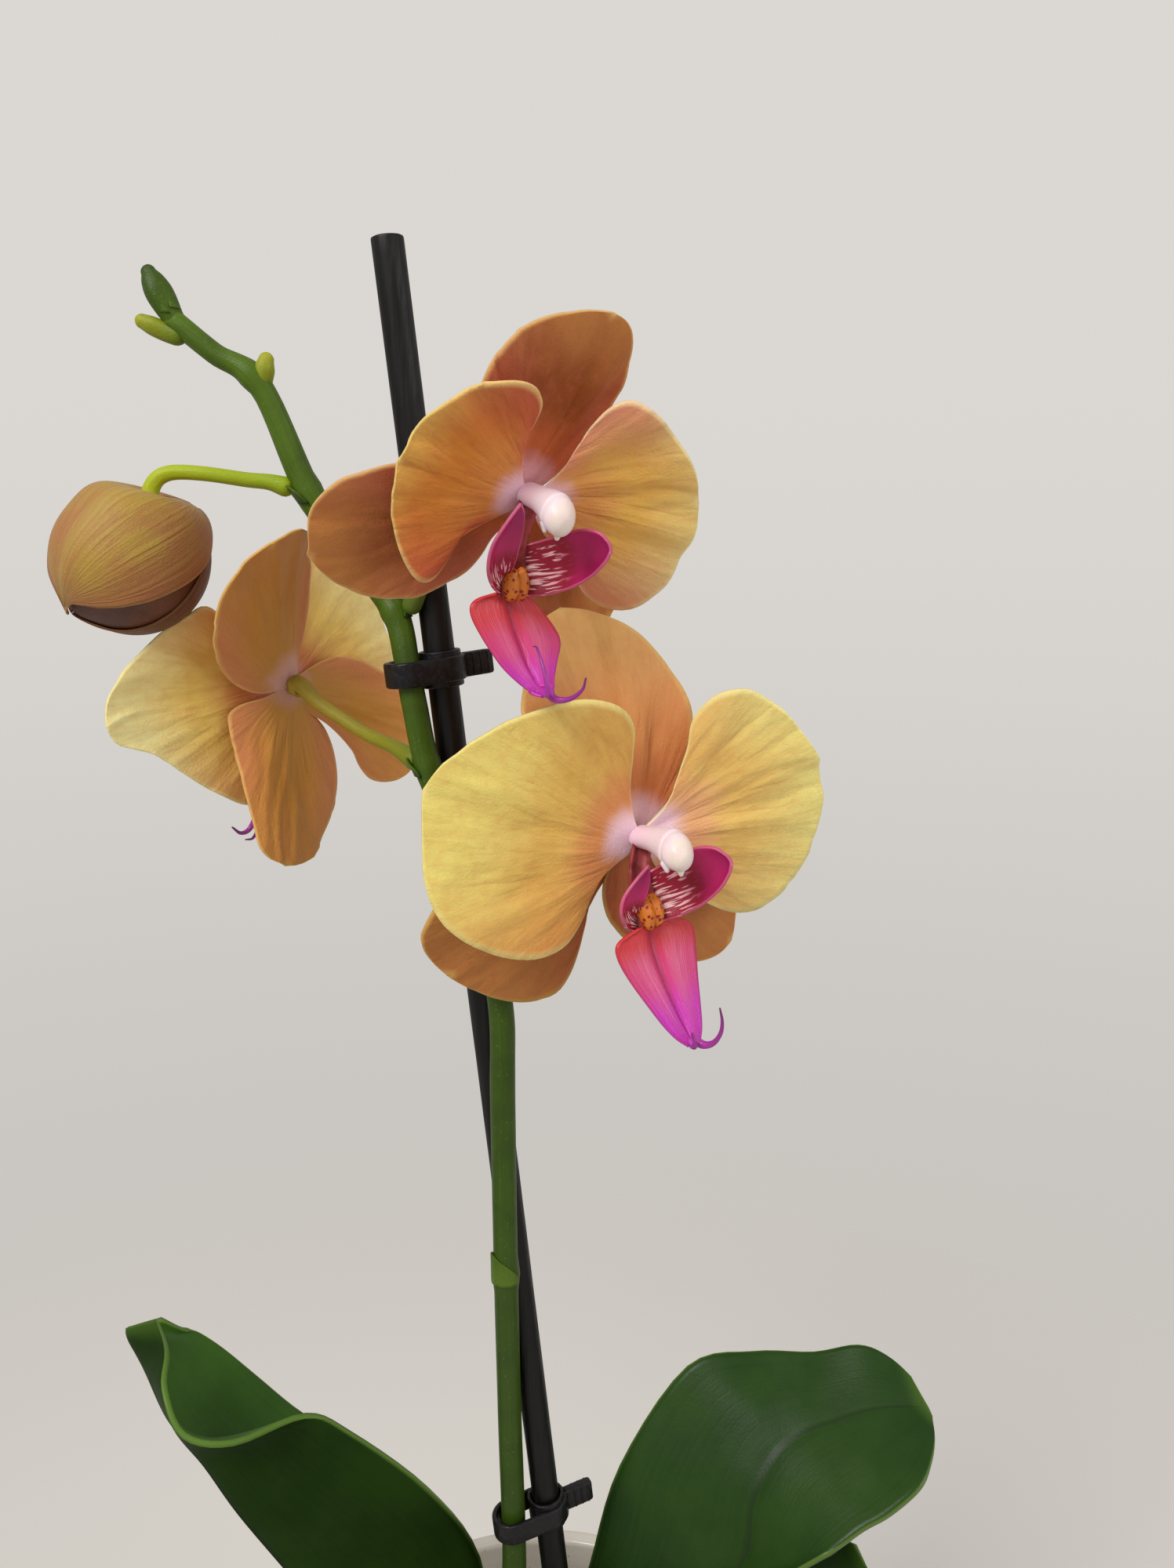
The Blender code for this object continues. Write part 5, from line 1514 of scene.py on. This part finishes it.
def makeBarkBed():
    part = newPart()                # the settled bark below the loose pieces
    rows = []
    for i in range(26):
        reach = i / 25
        row = []
        for s in range(110):
            angle = 2 * math.pi * s / 110
            radius = mix(0.5, 55.2, reach)
            rise = 104.6 - 3.0 * ease(0.7, 1.0, reach) + 1.3 * wobble(radius * 0.16 * math.cos(angle) + 5,
                                                                     radius * 0.16 * math.sin(angle), 8)
            row.append((radius * math.cos(angle), radius * math.sin(angle), rise))
        rows.append(row)
    rows.append([(p[0] * 0.9, p[1] * 0.9, 80.0) for p in rows[-1]])
    rows.append([(p[0] * 0.76, p[1] * 0.76, 6.0) for p in rows[-3]])
    rows.append([(p[0] * 0.01, p[1] * 0.01, 6.0) for p in rows[-4]])
    addGrid(part, rows, loop=True)
    def tooNear(x, y, long):
        return any(math.hypot(x - gx, y - gy) < gap + long * 0.62 for gx, gy, gap in guards)
    chance = random.Random(potSettings["barkSeed"])
    guards = [(*rootSettings["crown"], 9.0), (10.6, 0.0, 5.6), (-6.0, -4.5, 5.5)]
    for knots in rootPaths():
        guards += [(x, y, r + 1.6) for x, y, z, r in smoothPath(knots, 3)]
    placed = 0
    while placed < potSettings["barkCount"]:
        angle, radius = chance.uniform(0, 2 * math.pi), 52.5 * math.sqrt(chance.random())
        long, wide, thick = chance.uniform(4.5, 9.0), chance.uniform(3.0, 6.0), chance.uniform(1.3, 2.6)
        x, y = radius * math.cos(angle), radius * math.sin(angle)
        if radius + long * 0.75 > 55.0 or tooNear(x, y, long):
            if chance.random() < 0.9:
                continue
            long, wide, thick = long * 0.4, wide * 0.4, thick * 0.6
            if radius + long > 55.0 or tooNear(x, y, long):
                continue
        turn = (Matrix.Rotation(chance.uniform(0, 6.28), 3, "Z")
                @ Matrix.Rotation(chance.uniform(-0.35, 0.35), 3, "X")
                @ Matrix.Rotation(chance.uniform(-0.35, 0.35), 3, "Y"))
        centre = Vector((x, y, 105.4 - 2.6 * ease(38, 55, radius) + chance.uniform(-0.4, 1.0)))
        rings = []
        seed = chance.uniform(0, 90)
        for level, share in ((-1.0, 0.62), (-0.55, 0.95), (0.2, 1.0), (0.75, 0.86), (1.0, 0.55)):
            ring = []
            for s in range(12):
                a = 2 * math.pi * s / 12
                rough = 1 + 0.45 * wobble(math.cos(a) * 1.5 + seed, math.sin(a) * 1.5 + level * 0.4, 3)
                corner = (abs(math.cos(a)) ** 5 + abs(math.sin(a)) ** 5) ** -0.2
                ring.append(centre + turn @ Vector((long * 0.5 * share * math.cos(a) * corner * rough,
                                                    wide * 0.5 * share * math.sin(a) * corner * rough,
                                                    thick * 0.5 * level * (0.8 + 0.4 * rough - 0.4))))
            rings.append(ring)
        slot = 0 if chance.random() < 0.62 else 1
        first = addGrid(part, rings, slot=slot, loop=True)
        addCap(part, first, 12, slot, 0.0, flip=True)
        addCap(part, first + 4 * 12, 12, slot, 1.0)
        placed += 1
    makePiece("bark_bed", part, [barkBrown, barkDark], ["bark_bed"])


makePot()
makeBarkBed()
makeRoots()
makeCrown()
print("pot, bark, roots and crown made")


# ---- floor, light and world

studioSettings = {"floorRadius": 0.62, "floorFade": (0.16, 0.60), "wall": (219, 215, 211),
                  "wallLow": (200, 196, 191),
                  "worldStrength": 0.72}


def makeFloor():
    mesh = bpy.data.meshes.new("floor")
    work = bmesh.new()
    bmesh.ops.create_circle(work, cap_ends=True, radius=studioSettings["floorRadius"], segments=128)
    work.to_mesh(mesh)
    work.free()
    material, tree, shader = newMaterial("paleFloor", Roughness=0.8, Specular_IOR_Level=0.15)
    shader.inputs["Base Color"].default_value = srgb(222, 219, 214)
    away = put(tree, "VectorMath", {0: objectPlace(tree)}, operation="LENGTH").outputs["Value"]
    tree.links.new(spread(tree, away, *studioSettings["floorFade"], 1.0, 0.0), shader.inputs["Alpha"])
    mesh.materials.append(material)
    floor = bpy.data.objects.new("floor", mesh)
    bpy.context.scene.collection.objects.link(floor)


def makeLight(name, place, aim, size, power, colour):
    data = bpy.data.lights.new(name, "AREA")
    data.shape = "DISK"
    data.size = size
    data.energy = power
    data.color = colour
    lamp = bpy.data.objects.new(name, data)
    lamp.location = place
    lamp.rotation_euler = (Vector(aim) - Vector(place)).to_track_quat("-Z", "Y").to_euler()
    bpy.context.scene.collection.objects.link(lamp)


def makeWorld():
    world = bpy.data.worlds.new("paleRoom")
    bpy.context.scene.world = world
    world.use_nodes = True
    tree = world.node_tree
    backdrop = tree.nodes["Background"]
    height = put(tree, "SeparateXYZ", {0: put(tree, "TexCoord").outputs["Generated"]}).outputs["Z"]
    tree.links.new(ramp(tree, spread(tree, height, -0.75, 0.3), [(0.0, srgb(*studioSettings["wallLow"])),
                                                                 (1.0, srgb(*studioSettings["wall"]))]),
                   backdrop.inputs["Color"])
    seen = put(tree, "LightPath").outputs["Is Camera Ray"]
    strength = spread(tree, seen, 0.0, 1.0, studioSettings["worldStrength"], 1.0)
    tree.links.new(strength, backdrop.inputs["Strength"])


makeFloor()
makeLight("keyLight", (-0.7, -1.0, 1.45), (0, 0, 0.33), 0.8, 19.0, (1.0, 0.985, 0.96))
makeLight("fillLight", (1.2, -0.6, 0.75), (0, 0, 0.33), 0.8, 5.0, (0.97, 0.98, 1.0))
makeWorld()
bpy.context.scene.view_settings.view_transform = "Standard"
bpy.context.scene.view_settings.look = "None"
print("floor, light and world made")
